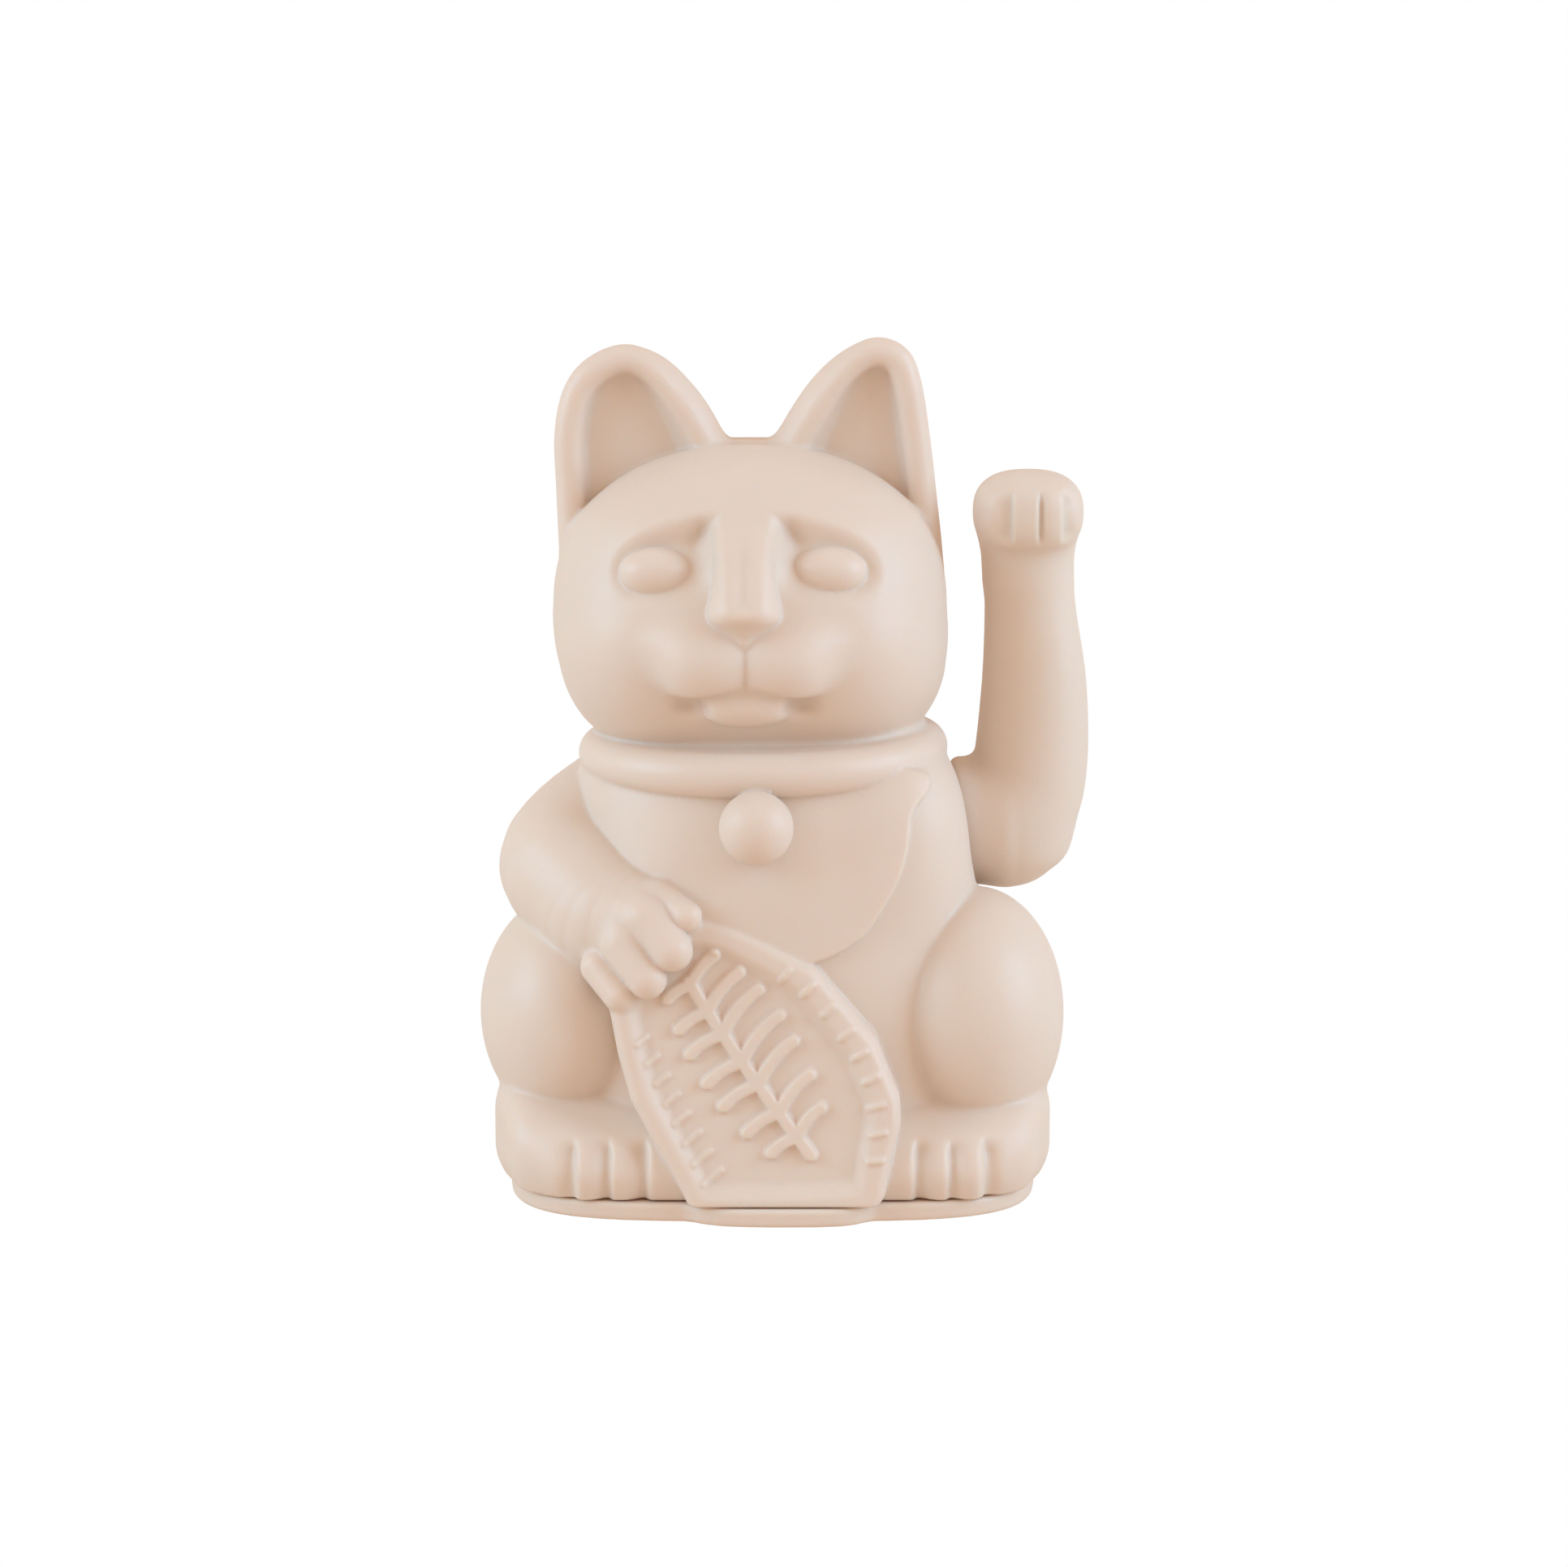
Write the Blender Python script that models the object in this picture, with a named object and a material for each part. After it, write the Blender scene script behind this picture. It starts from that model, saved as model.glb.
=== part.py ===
"""A beckoning cat figurine: a moulded plastic cat, 147 mm tall, whose raised arm nods on a pivot.

The cat is two hollow half shells on a base plate. One cell under a hinged door feeds a small board
and a coil. The coil pushes a magnet at the foot of a pendulum, which shares its axle with the arm.
The cat faces -Y and stands on Z = 0. Lengths are in millimetres up to make(), which turns them
into metres.
"""

import math

import bmesh
import bpy
from mathutils import Matrix, Vector

MM = 0.001

# The moulding
WALL = 2.3
ARM_WALL = 1.7
GAP = 0.3
PARTING_Y = 4.0
BASE_TOP = 3.0
SHELL_FOOT = 3.4
SHELL_VOXEL = 1.3
ARM_VOXEL = 0.9

# The head and body, (x, y, z) centres and (x, y, z) radii
HEAD = ((-3.9, -3.0, 101.0), (34.2, 29.0, 29.3))
HEAD_POWER = 2.3
COLLAR = ((-1.65, -4.0, 74.9), (28.4, 24.3), 3.9)
BELL = ((-2.7, -33.6, 67.5), 6.3)
THIGHS = (((-35.4, -10.0, 31.0), (15.7, 21.0, 20.5)), ((35.3, -12.5, 31.0), (15.5, 20.5, 22.0)))
# The torso's sections: height, centre x, half width, front y, back y, squareness
TORSO = (
    (3.0, 0.0, 42.0, -30.0, 40.0, 2.9),
    (12.0, 0.0, 43.0, -30.5, 41.0, 2.9),
    (30.0, 0.0, 40.0, -31.0, 38.5, 2.7),
    (45.0, 0.0, 38.0, -31.0, 34.0, 2.5),
    (60.0, -0.3, 33.8, -30.0, 28.5, 2.3),
    (74.0, -1.0, 31.3, -26.0, 23.5, 2.2),
    (80.0, -1.5, 27.0, -22.0, 19.0, 2.2),
)
# Limbs are chains of balls: x, y, z, radius
HOLDING_ARM = ((-31, 0, 66, 11), (-35.3, -10, 58, 12), (-22.5, -24, 48.5, 10), (-18.5, -28.5, 45, 9.3))
TAIL = ((22, 35, 12, 6), (8, 38.5, 15, 6), (-8, 38, 20, 5.5), (-16, 34.5, 27, 5))
# The feet: where their balls stand, as (distance from the middle, y), and two layers of (height, radius)
FOOT_PLAN = ((28.2, -12), (39.8, -12), (39.8, -17), (36.5, -26.2), (31, -30), (28.2, -30))
FOOT_LAYERS = ((11.0, 8.0), (5.0, 6.6))

# The ears stand on one plane: outlines as (x, z)
EAR_LEFT = (
    (-37.5, 108), (-38.2, 122), (-38.0, 130), (-36.1, 138.5), (-32.0, 143.8), (-25.6, 146.2),
    (-18.8, 144.0), (-12.9, 138.2), (-8.9, 131.8), (-6.5, 124),
)
EAR_RIGHT = (
    (-2.0, 124), (1.2, 131.8), (6.4, 139.8), (12.0, 145.0), (18.1, 147.4), (24.2, 144.3),
    (26.6, 136.0), (28.1, 125.6), (29.6, 108),
)
EAR_FLOOR_Y = 1.6
EAR_BACK_Y = 6.6
EAR_RIM = 2.1

# The coin leans on the belly: outline as (x, z)
COIN = (
    (-18, 51.5), (-11.9, 52.3), (6.7, 44.8), (17.7, 32.8), (21.6, 21.8), (20.4, 10.2), (16.5, 3.0),
    (-14.5, 3.0), (-23.6, 21), (-26.3, 30.4), (-27.4, 38.5), (-24, 46),
)
COIN_TOP_Y = -32.0
COIN_FOOT_Y = -41.5
COIN_BACK = 12.0

# The arm that beckons, which turns about an axis along X
PIVOT = (31.3, PARTING_Y, 62.0)
SHOULDER_R = 11.3
POCKET_R = 13.8
POCKET_X = 30.0
HUB_HOLE_R = 6.0
# The forearm's sections, in the same order
FOREARM = (
    (61.0, 43.0, 9.5, -6.0, 14.0, 2.1),
    (67.0, 44.6, 10.3, -6.5, 14.5, 2.1),
    (76.0, 45.8, 10.0, -6.0, 14.0, 2.1),
    (88.0, 46.0, 9.2, -5.5, 12.5, 2.1),
    (100.0, 45.2, 8.1, -5.0, 10.5, 2.1),
    (108.0, 44.7, 7.8, -5.0, 10.0, 2.1),
)
PAW = ((44.6, 0.8, 117.3), (9.6, 9.4, 7.4))
ELBOW = ((42.4, 4.0, 63.0), (11.6, 11.2, 13.0))

# The cell and the mechanism
CELL_R = 7.25
CELL_LENGTH = 49.0
CELL_Y = 20.6
CELL_Z = 10.4
BOX_INNER = ((-28.4, 12.9, 2.4), (26.8, 28.3, 18.0))
BOX_WALL = 1.4
DOOR = ((-30.7, 11.4, 0.0), (30.5, 29.8, 1.8))
DOOR_HINGE = (30.0, CELL_Y, 0.9)
AXLE_R = 1.25
BORE_R = 1.65
AXLE_ENDS = (3.0, 38.5)
CLIP = (4.2, 5.2, 3.0)
HUB = (26.5, 31.0, 4.0)
# The hub's square end, as half its side, and how far it reaches into the arm
SQUARE = 2.5
SQUARE_END = 39.8
COIL_X = 15.0
COIL_R = 7.0
COIL_TOP = 17.0
COIL_FLANGE = 1.0
CORE_R = 2.2
LEVER_FOOT = 24.5
MAGNET_R = 5.8
MAGNET_FOOT = 20.3
MAGNET_TOP = 24.3
WEIGHT_FOOT = 27.0
WEIGHT_TOP = 42.0
# The weight sits a little behind the axle, so that the paw, which bends forward, hangs at rest upright
WEIGHT_FRONT = 6.75
WEIGHT_BACK = 8.25
FRAME_FOOT = 6.3
FRAME_TOP = 8.3
UPRIGHTS = (6.6, 25.0)
UPRIGHT_HALF = 1.0
SWITCH = (-30.0, 2.0)
BASE_SCREWS = {
    "front_left": (-41.3, -18.0),
    "front_right": (41.3, -18.0),
    "rear_left": (-35.6, 19.5),
    "rear_right": (35.6, 19.5),
}
FRAME_SCREWS = ((10.0, -10.5), (22.0, -10.5))
BOARD_SCREWS = ((-27.0, -16.5), (0.5, 5.0))
BOARD = ((-31.0, -20.0, 9.0), (4.2, 8.4, 10.6))
SCREW_HEAD = 1.5
SCREW_POINT = 1.5
POST_R = 3.4
POST_TOP = 16.0
POST_BORE_R = 1.55
POST_BORE_TOP = 12.0
LIP_TOP = 6.0
LIP_WIDTH = 1.4
LIP_PLAY = 1.2
WIRE_R = 0.45
SPRING_WIRE_R = 0.35
SPRING_TURNS = 3

# Colours: red, green, blue, roughness, metallic
FINISHES = {
    "body_plastic": (0.80, 0.66, 0.55, 0.45, 0.0),
    "black_plastic": (0.03, 0.03, 0.03, 0.5, 0.0),
    "frame_plastic": (0.75, 0.75, 0.72, 0.5, 0.0),
    "board_green": (0.04, 0.20, 0.09, 0.4, 0.0),
    "steel": (0.60, 0.60, 0.62, 0.3, 1.0),
    "copper": (0.72, 0.35, 0.18, 0.35, 1.0),
    "cell_wrap": (0.10, 0.12, 0.16, 0.3, 0.0),
    "red_wire": (0.55, 0.03, 0.03, 0.45, 0.0),
    "resistor_tan": (0.62, 0.48, 0.30, 0.5, 0.0),
}


# Making and joining


def finish_of(key):
    """The Principled material for one finish, made once."""
    found = bpy.data.materials.get(key)
    if found:
        return found
    red, green, blue, roughness, metallic = FINISHES[key]
    material = bpy.data.materials.new(key)
    material.use_nodes = True
    shader = material.node_tree.nodes["Principled BSDF"]
    shader.inputs["Base Color"].default_value = (red, green, blue, 1.0)
    shader.inputs["Roughness"].default_value = roughness
    shader.inputs["Metallic"].default_value = metallic
    return material


def make(name, bm, finish="body_plastic", origin=(0, 0, 0)):
    """A bmesh drawn in millimetres becomes an object in metres with its origin at the given point."""
    bmesh.ops.recalc_face_normals(bm, faces=bm.faces)
    bm.transform(Matrix.Scale(MM, 4) @ Matrix.Translation(-Vector(origin)))
    mesh = bpy.data.meshes.new(name)
    bm.to_mesh(mesh)
    bm.free()
    mesh.shade_smooth()
    mesh.set_sharp_from_angle(angle=math.radians(35))
    mesh.materials.append(finish_of(finish))
    made = bpy.data.objects.new(name, mesh)
    made.location = Vector(origin) * MM
    bpy.context.scene.collection.objects.link(made)
    return made


def settle(piece):
    """Applies a piece's modifiers."""
    bpy.context.view_layer.update()
    seen = piece.evaluated_get(bpy.context.evaluated_depsgraph_get())
    mesh = bpy.data.meshes.new_from_object(seen)
    piece.modifiers.clear()
    piece.data = mesh
    return piece


def combine(piece, operation, *others):
    """Cuts, keeps or adds other solids, which are used up."""
    for other in others:
        step = piece.modifiers.new(operation.lower(), "BOOLEAN")
        step.operation = operation
        step.solver = "EXACT"
        step.object = other
        settle(piece)
        bpy.data.objects.remove(other)
    return piece


def fuse(piece, voxel, triangles, smoothing=4):
    """Overlapping solids melt into one skin of about so many triangles."""
    remesh = piece.modifiers.new("melt", "REMESH")
    remesh.mode = "VOXEL"
    remesh.voxel_size = voxel * MM
    smooth = piece.modifiers.new("smooth", "SMOOTH")
    smooth.factor = 0.5
    smooth.iterations = smoothing
    settle(piece)
    thin = piece.modifiers.new("thin", "DECIMATE")
    thin.ratio = triangles / (2 * len(piece.data.polygons))
    return settle(piece)


def copy_of(piece, name):
    """A second object with its own mesh."""
    twin = bpy.data.objects.new(name, piece.data.copy())
    bpy.context.scene.collection.objects.link(twin)
    return twin


# Shapes


def superellipse(turn, half_x, half_y, power):
    """A point on a squarish oval."""
    cos, sin = math.cos(turn), math.sin(turn)
    reach = (abs(cos) ** power + abs(sin) ** power) ** (-1 / power)
    return half_x * reach * cos, half_y * reach * sin


def add_ball(bm, centre, radii, power=2.0):
    """A squarish ball, round at power 2."""
    made = bmesh.ops.create_uvsphere(bm, u_segments=32, v_segments=20, radius=1.0)
    for vert in made["verts"]:
        swell = sum(abs(value) ** power for value in vert.co) ** (-1 / power)
        vert.co = Vector(centre) + Vector(c * swell * r for c, r in zip(vert.co, radii))


def add_hull(bm, balls):
    """The tight skin around some balls, each x, y, z, radius."""
    scratch = bmesh.new()
    for x, y, z, radius in balls:
        place = Matrix.Translation((x, y, z))
        bmesh.ops.create_icosphere(scratch, subdivisions=2, radius=radius, matrix=place)
    bmesh.ops.delete(scratch, geom=scratch.faces[:] + scratch.edges[:], context="EDGES_FACES")
    done = bmesh.ops.convex_hull(scratch, input=scratch.verts[:])
    spare = done["geom_interior"] + done["geom_unused"]
    loose = {item for item in spare if isinstance(item, bmesh.types.BMVert)}
    bmesh.ops.delete(scratch, geom=list(loose), context="VERTS")
    mesh = bpy.data.meshes.new("hull")
    scratch.to_mesh(mesh)
    scratch.free()
    bm.from_mesh(mesh)
    bpy.data.meshes.remove(mesh)


def add_chain(bm, balls):
    """A limb through some balls in turn."""
    for pair in zip(balls, balls[1:]):
        add_hull(bm, pair)


def add_rings(bm, rings, closed=False):
    """A skin through rings of points, capped at both ends unless it closes on itself."""
    loops = [[bm.verts.new(point) for point in ring] for ring in rings]
    pairs = list(zip(loops, loops[1:]))
    if closed:
        pairs.append((loops[-1], loops[0]))
    else:
        bm.faces.new(loops[0])
        bm.faces.new(loops[-1])
    for low, high in pairs:
        for index in range(len(low)):
            after = (index + 1) % len(low)
            bm.faces.new((low[index], low[after], high[after], high[index]))


def drawn_in(sections, inset):
    """Level sections made smaller all round by an inset."""
    smaller = []
    for z, centre_x, half_x, front, back, power in sections:
        smaller.append((z, centre_x, half_x - inset, front + inset, back - inset, power))
    return smaller


def add_loft(bm, sections, sides=48):
    """A body through level sections: height, centre x, half width, front y, back y, squareness."""
    rings = []
    for z, centre_x, half_x, front, back, power in sections:
        ring = []
        for index in range(sides):
            x, y = superellipse(math.tau * index / sides, half_x, (back - front) / 2, power)
            ring.append((centre_x + x, (front + back) / 2 + y, z))
        rings.append(ring)
    add_rings(bm, rings)


def add_plate(bm, outline, front, back):
    """An upright plate between two depths. Each depth is a number or a function of height."""
    rings = []
    for depth in (front, back):
        at = depth if callable(depth) else (lambda z, depth=depth: depth)
        rings.append([(x, at(z), z) for x, z in outline])
    add_rings(bm, rings)


def add_box(bm, low, high):
    """A block between two corners."""
    centre = (Vector(low) + Vector(high)) / 2
    size = Vector(high) - Vector(low)
    bmesh.ops.create_cube(bm, size=1.0, matrix=Matrix.Translation(centre) @ Matrix.Diagonal((*size, 1)))


def add_turned(bm, profile, start, axis, sides=16):
    """A turned piece from (distance, radius) pairs along an axis, closed where the radius is 0."""
    lay = Vector((0, 0, 1)).rotation_difference(Vector(axis)).to_matrix()
    rings = []
    for along, radius in profile:
        turns = [math.tau * (index + 0.5) / sides for index in range(sides)]
        points = [lay @ Vector((radius * math.cos(t), radius * math.sin(t), along)) for t in turns]
        rings.append([Vector(start) + point for point in points])
    add_rings(bm, rings)


def add_rod(bm, start, end, radius, sides=16):
    """A round bar between two points."""
    reach = Vector(end) - Vector(start)
    add_turned(bm, ((0, radius), (reach.length, radius)), start, reach, sides)


def add_tube(bm, start, end, outer, inner, sides=20):
    """A round tube between two points."""
    reach = Vector(end) - Vector(start)
    lay = Vector((0, 0, 1)).rotation_difference(reach).to_matrix()
    rings = []
    for along, radius in ((0, outer), (reach.length, outer), (reach.length, inner), (0, inner)):
        turns = [math.tau * (index + 0.5) / sides for index in range(sides)]
        points = [lay @ Vector((radius * math.cos(t), radius * math.sin(t), along)) for t in turns]
        rings.append([Vector(start) + point for point in points])
    add_rings(bm, rings, closed=True)


def solid(name, adder, *values, **options):
    """One shape as an object, to cut with or to add."""
    bm = bmesh.new()
    adder(bm, *values, **options)
    return make(name, bm)


def smoothed(outline, steps=3):
    """An open outline with rounded turns, by Catmull-Rom."""
    points = [Vector(p) for p in outline]
    points = [points[0], *points, points[-1]]
    made = []
    for a, b, c, d in zip(points, points[1:], points[2:], points[3:]):
        for index in range(steps):
            t = index / steps
            curve = 2 * b + (c - a) * t + (2 * a - 5 * b + 4 * c - d) * t**2
            made.append((curve + (3 * b - a - 3 * c + d) * t**3) / 2)
    return [tuple(p) for p in (*made, points[-1])]


# The cat's skin


def coin_face(z):
    """How far forward the coin's face lies at a height."""
    return COIN_FOOT_Y + (COIN_TOP_Y - COIN_FOOT_Y) * z / COIN[1][1]


def add_body_masses(bm, inset):
    """Torso, head, thighs, feet and holding arm, all drawn in by an inset."""
    sections = drawn_in(TORSO, inset)
    if inset:
        sections[0] = (-3.0, *sections[0][1:])
    add_loft(bm, sections)
    centre, radii = HEAD
    add_ball(bm, centre, [r - inset for r in radii], HEAD_POWER)
    for centre, radii in THIGHS:
        add_ball(bm, centre, [r - inset for r in radii])
    for side in (-1, 1):
        add_hull(bm, [(side * x, y, z, r - inset) for x, y in FOOT_PLAN for z, r in FOOT_LAYERS])
    add_chain(bm, [(x, y, z, radius - inset) for x, y, z, radius in HOLDING_ARM])


def add_ears(bm):
    """Two plates with a raised rim, and the low bridge between them."""
    for outline in (EAR_LEFT, EAR_RIGHT):
        edge = smoothed(outline)
        add_plate(bm, edge, EAR_FLOOR_Y, EAR_BACK_Y)
        middle_x = sum(x for x, z in edge) / len(edge)
        rim = []
        for x, z in edge[::2]:
            inwards = math.copysign(0.8 * EAR_RIM, middle_x - x)
            rim.append((x + inwards, 0.0, z - 0.6 * EAR_RIM, EAR_RIM))
        add_chain(bm, rim)
    add_box(bm, (-9, -2, 120), (1, EAR_BACK_Y, 130))


def add_face(bm):
    """Nose, muzzle, chin and closed eyes."""
    add_chain(bm, ((-4.6, -28, 117, 4.6), (-4.6, -33.5, 102, 4.2)))
    for side in (-9.4, 0.8):
        add_ball(bm, (side, -30.5, 94.8), (7.2, 5.8, 6.0))
    add_ball(bm, (-4.0, -27.5, 88.5), (8.0, 5.5, 4.6))
    for side in (-19.6, 10.3):
        add_ball(bm, (side, -26.0, 110.3), (6.2, 4.6, 3.9))


def add_collar(bm):
    """The collar's round band and its bell."""
    centre, (half_x, half_y), radius = COLLAR
    rings = []
    for index in range(48):
        turn = math.tau * index / 48
        out = Vector((math.cos(turn), math.sin(turn), 0))
        spine = Vector(centre) + Vector((half_x * out.x, half_y * out.y, 0))
        around = [math.tau * step / 10 for step in range(10)]
        rings.append([spine + radius * (out * math.cos(a) + Vector((0, 0, math.sin(a)))) for a in around])
    add_rings(bm, rings, closed=True)
    centre, radius = BELL
    add_ball(bm, centre, (radius, radius, radius))


def cat_form():
    """The whole cat but for the arm that beckons, as one solid skin."""
    bm = bmesh.new()
    add_body_masses(bm, 0)
    add_ears(bm)
    add_face(bm)
    add_collar(bm)
    add_chain(bm, TAIL)
    add_plate(bm, COIN, coin_face, lambda z: coin_face(z) + COIN_BACK)
    return fuse(make("cat_form", bm), SHELL_VOXEL, 3800)


def cat_hollow():
    """The space inside the walls."""
    bm = bmesh.new()
    add_body_masses(bm, WALL)
    hollow = fuse(make("cat_hollow", bm), SHELL_VOXEL, 1200)
    start = (POCKET_X - WALL, *PIVOT[1:])
    pocket_wall = solid("pocket_wall", add_rod, start, (70, *PIVOT[1:]), POCKET_R + WALL, 24)
    return combine(hollow, "DIFFERENCE", pocket_wall)


def half_space(front):
    """One side of the parting plane, above the base plate."""
    near, far = (-70, PARTING_Y - GAP / 2) if front else (PARTING_Y + GAP / 2, 70)
    return solid("half", add_box, (-70, near, SHELL_FOOT), (70, far, 160))


def screw_posts(places):
    """Posts that the base screws bite into, from the shell's foot up."""
    bm = bmesh.new()
    for x, y in places:
        add_rod(bm, (x, y, SHELL_FOOT + 0.2), (x, y, POST_TOP), POST_R, 14)
    return make("posts", bm)


def post_bores(places):
    """The blind holes in the posts."""
    bm = bmesh.new()
    for x, y in places:
        add_rod(bm, (x, y, 0), (x, y, POST_BORE_TOP), POST_BORE_R, 10)
    return make("bores", bm)


def build_shells():
    """The front and rear halves of the cat."""
    skin = cat_form()
    pocket = solid("pocket", add_rod, (POCKET_X, *PIVOT[1:]), (70, *PIVOT[1:]), POCKET_R, 32)
    combine(skin, "DIFFERENCE", pocket, cat_hollow())
    inner, outer = ((POCKET_X + side, *PIVOT[1:]) for side in (-6, 6))
    combine(skin, "DIFFERENCE", solid("hub_hole", add_rod, inner, outer, HUB_HOLE_R, 24))
    for name, front in (("front_shell", True), ("rear_shell", False)):
        half = copy_of(skin, name)
        combine(half, "INTERSECT", half_space(front))
        places = [p for key, p in BASE_SCREWS.items() if key.startswith(name.split("_")[0])]
        combine(half, "UNION", screw_posts(places))
        combine(half, "DIFFERENCE", post_bores(places))
    bpy.data.objects.remove(skin)


# The arm that beckons


def add_arm_masses(bm, inset):
    """Elbow, forearm and bent paw, drawn in by an inset."""
    centre, radii = ELBOW
    add_ball(bm, centre, [r - inset for r in radii])
    add_loft(bm, drawn_in(FOREARM, inset), 32)
    centre, radii = PAW
    add_ball(bm, centre, [r - inset for r in radii], 2.4)
    add_hull(bm, ((44.6, 2.5, 106, 7.2 - inset), (44.6, 1.5, 114, 7.6 - inset)))
    add_chain(bm, ((40, -3.5, 115.5, 5.0 - inset), (49, -3.5, 115.5, 5.0 - inset)))


def arm_form():
    """The arm as one solid skin with its round shoulder."""
    bm = bmesh.new()
    add_arm_masses(bm, 0)
    shoulder = ((0, SHOULDER_R - 1.2), (1.2, SHOULDER_R), (11, SHOULDER_R))
    add_turned(bm, shoulder, PIVOT, (1, 0, 0), 32)
    return fuse(make("arm_form", bm), ARM_VOXEL, 900, smoothing=3)


def arm_hollow():
    """The space inside the arm, kept clear of the socket for the hub."""
    bm = bmesh.new()
    add_arm_masses(bm, ARM_WALL)
    hollow = fuse(make("arm_hollow", bm), ARM_VOXEL, 360, smoothing=3)
    socket = solid("socket", add_rod, PIVOT, (41.5, *PIVOT[1:]), 5.4, 16)
    return combine(hollow, "DIFFERENCE", socket)


def build_arm():
    """The arm's front and rear halves, with a square socket on the pivot."""
    skin = combine(arm_form(), "DIFFERENCE", arm_hollow())
    _, y, z = PIVOT
    half = SQUARE + GAP
    socket = solid("socket", add_box, (20, y - half, z - half), (SQUARE_END + 0.4, y + half, z + half))
    combine(skin, "DIFFERENCE", socket)
    for name, front in (("arm_front_half", True), ("arm_rear_half", False)):
        half = combine(copy_of(skin, name), "INTERSECT", half_space(front))
        move_origin(half, PIVOT)
    bpy.data.objects.remove(skin)


def move_origin(piece, point):
    """Puts an object's origin on a point and leaves its mesh where it is."""
    shift = Vector(point) * MM - piece.location
    piece.data.transform(Matrix.Translation(-shift))
    piece.location += shift


# The swinging mechanism


def build_axle():
    """Steel axle, its clip, and the hub whose square end drives the arm."""
    _, y, z = PIVOT
    bm = bmesh.new()
    add_rod(bm, (AXLE_ENDS[0], y, z), (AXLE_ENDS[1], y, z), AXLE_R, 12)
    make("pivot_axle", bm, "steel", PIVOT)
    bm = bmesh.new()
    start, end, radius = CLIP
    add_tube(bm, (start, y, z), (end, y, z), radius, AXLE_R + GAP, 16)
    make("axle_clip", bm, "steel", PIVOT)
    bm = bmesh.new()
    start, end, radius = HUB
    add_tube(bm, (start, y, z), (end, y, z), radius, AXLE_R + GAP, 20)
    hub = make("arm_hub", bm, "frame_plastic", PIVOT)
    tenon = solid("tenon", add_box, (end - 0.6, y - SQUARE, z - SQUARE), (SQUARE_END, y + SQUARE, z + SQUARE))
    bore = solid("bore", add_rod, (start - 0.5, y, z), (AXLE_ENDS[1] + 0.4, y, z), AXLE_R + GAP, 16)
    combine(tenon, "DIFFERENCE", bore)
    combine(hub, "UNION", tenon)


def build_pendulum():
    """The lever that hangs from the axle, with its magnet and steel weight."""
    _, y, z = PIVOT
    bm = bmesh.new()
    add_box(bm, (COIL_X - 1.5, y - 3.5, LEVER_FOOT), (COIL_X + 1.5, y + 3.5, z))
    lever = make("pendulum_lever", bm, "frame_plastic", PIVOT)
    hub = solid("hub", add_rod, (COIL_X - 4, y, z), (COIL_X + 4, y, z), 4.6, 20)
    inner = MAGNET_R + 0.4
    cup = solid("cup", add_tube, (COIL_X, y, MAGNET_FOOT + GAP), (COIL_X, y, 26.2), COIL_R, inner)
    lid = solid("lid", add_rod, (COIL_X, y, MAGNET_TOP + GAP), (COIL_X, y, 26.3), COIL_R, 20)
    bore = solid("bore", add_rod, (5, y, z), (25, y, z), AXLE_R + GAP, 16)
    combine(lever, "UNION", hub, cup, lid)
    combine(lever, "DIFFERENCE", bore)
    bm = bmesh.new()
    add_rod(bm, (COIL_X, y, MAGNET_FOOT), (COIL_X, y, MAGNET_TOP), MAGNET_R, 20)
    make("pendulum_magnet", bm, "steel", PIVOT)
    bm = bmesh.new()
    low = (COIL_X + 1.8, y - WEIGHT_FRONT, WEIGHT_FOOT)
    add_box(bm, low, (COIL_X + 7.8, y + WEIGHT_BACK, WEIGHT_TOP))
    make("pendulum_weight", bm, "steel", PIVOT)


def build_frame():
    """The frame that carries the axle: a foot plate and two uprights."""
    _, y, z = PIVOT
    bm = bmesh.new()
    add_box(bm, (5.0, -14.5, FRAME_FOOT), (27.5, 11.1, FRAME_TOP))
    frame = make("mechanism_frame", bm, "frame_plastic")
    for middle in UPRIGHTS:
        outline = ((y - 9, FRAME_TOP - 1), (y + 7, FRAME_TOP - 1), (y + 4.5, z + 5), (y - 4.5, z + 5))
        bm = bmesh.new()
        sides = (middle - UPRIGHT_HALF, middle + UPRIGHT_HALF)
        add_rings(bm, [[(x, out, height) for out, height in outline] for x in sides])
        combine(frame, "UNION", make("upright", bm))
    bore = solid("bore", add_rod, (0, y, z), (40, y, z), BORE_R, 16)
    combine(frame, "DIFFERENCE", bore)
    for x, depth in FRAME_SCREWS:
        combine(frame, "DIFFERENCE", solid("hole", add_rod, (x, depth, 5), (x, depth, 10), 1.5, 10))


def build_coil():
    """The coil under the magnet: core, bobbin and winding."""
    _, y, _ = PIVOT
    foot = FRAME_TOP + GAP
    bm = bmesh.new()
    add_rod(bm, (COIL_X, y, foot), (COIL_X, y, COIL_TOP), CORE_R, 14)
    make("coil_core", bm, "steel")
    bm = bmesh.new()
    bore_r = CORE_R + GAP
    barrel_r = bore_r + 0.8
    low, high = foot + COIL_FLANGE, COIL_TOP - COIL_FLANGE
    profile = (
        (bore_r, foot), (COIL_R, foot), (COIL_R, low), (barrel_r, low),
        (barrel_r, high), (COIL_R, high), (COIL_R, COIL_TOP), (bore_r, COIL_TOP),
    )
    rings = []
    for radius, height in profile:
        turns = [math.tau * index / 20 for index in range(20)]
        rings.append([(COIL_X + radius * math.cos(t), y + radius * math.sin(t), height) for t in turns])
    add_rings(bm, rings, closed=True)
    make("coil_bobbin", bm, "black_plastic")
    bm = bmesh.new()
    add_tube(bm, (COIL_X, y, low + GAP), (COIL_X, y, high - GAP), COIL_R - 0.5, barrel_r + GAP, 20)
    make("coil_winding", bm, "copper")


# The base and what stands on it


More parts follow.
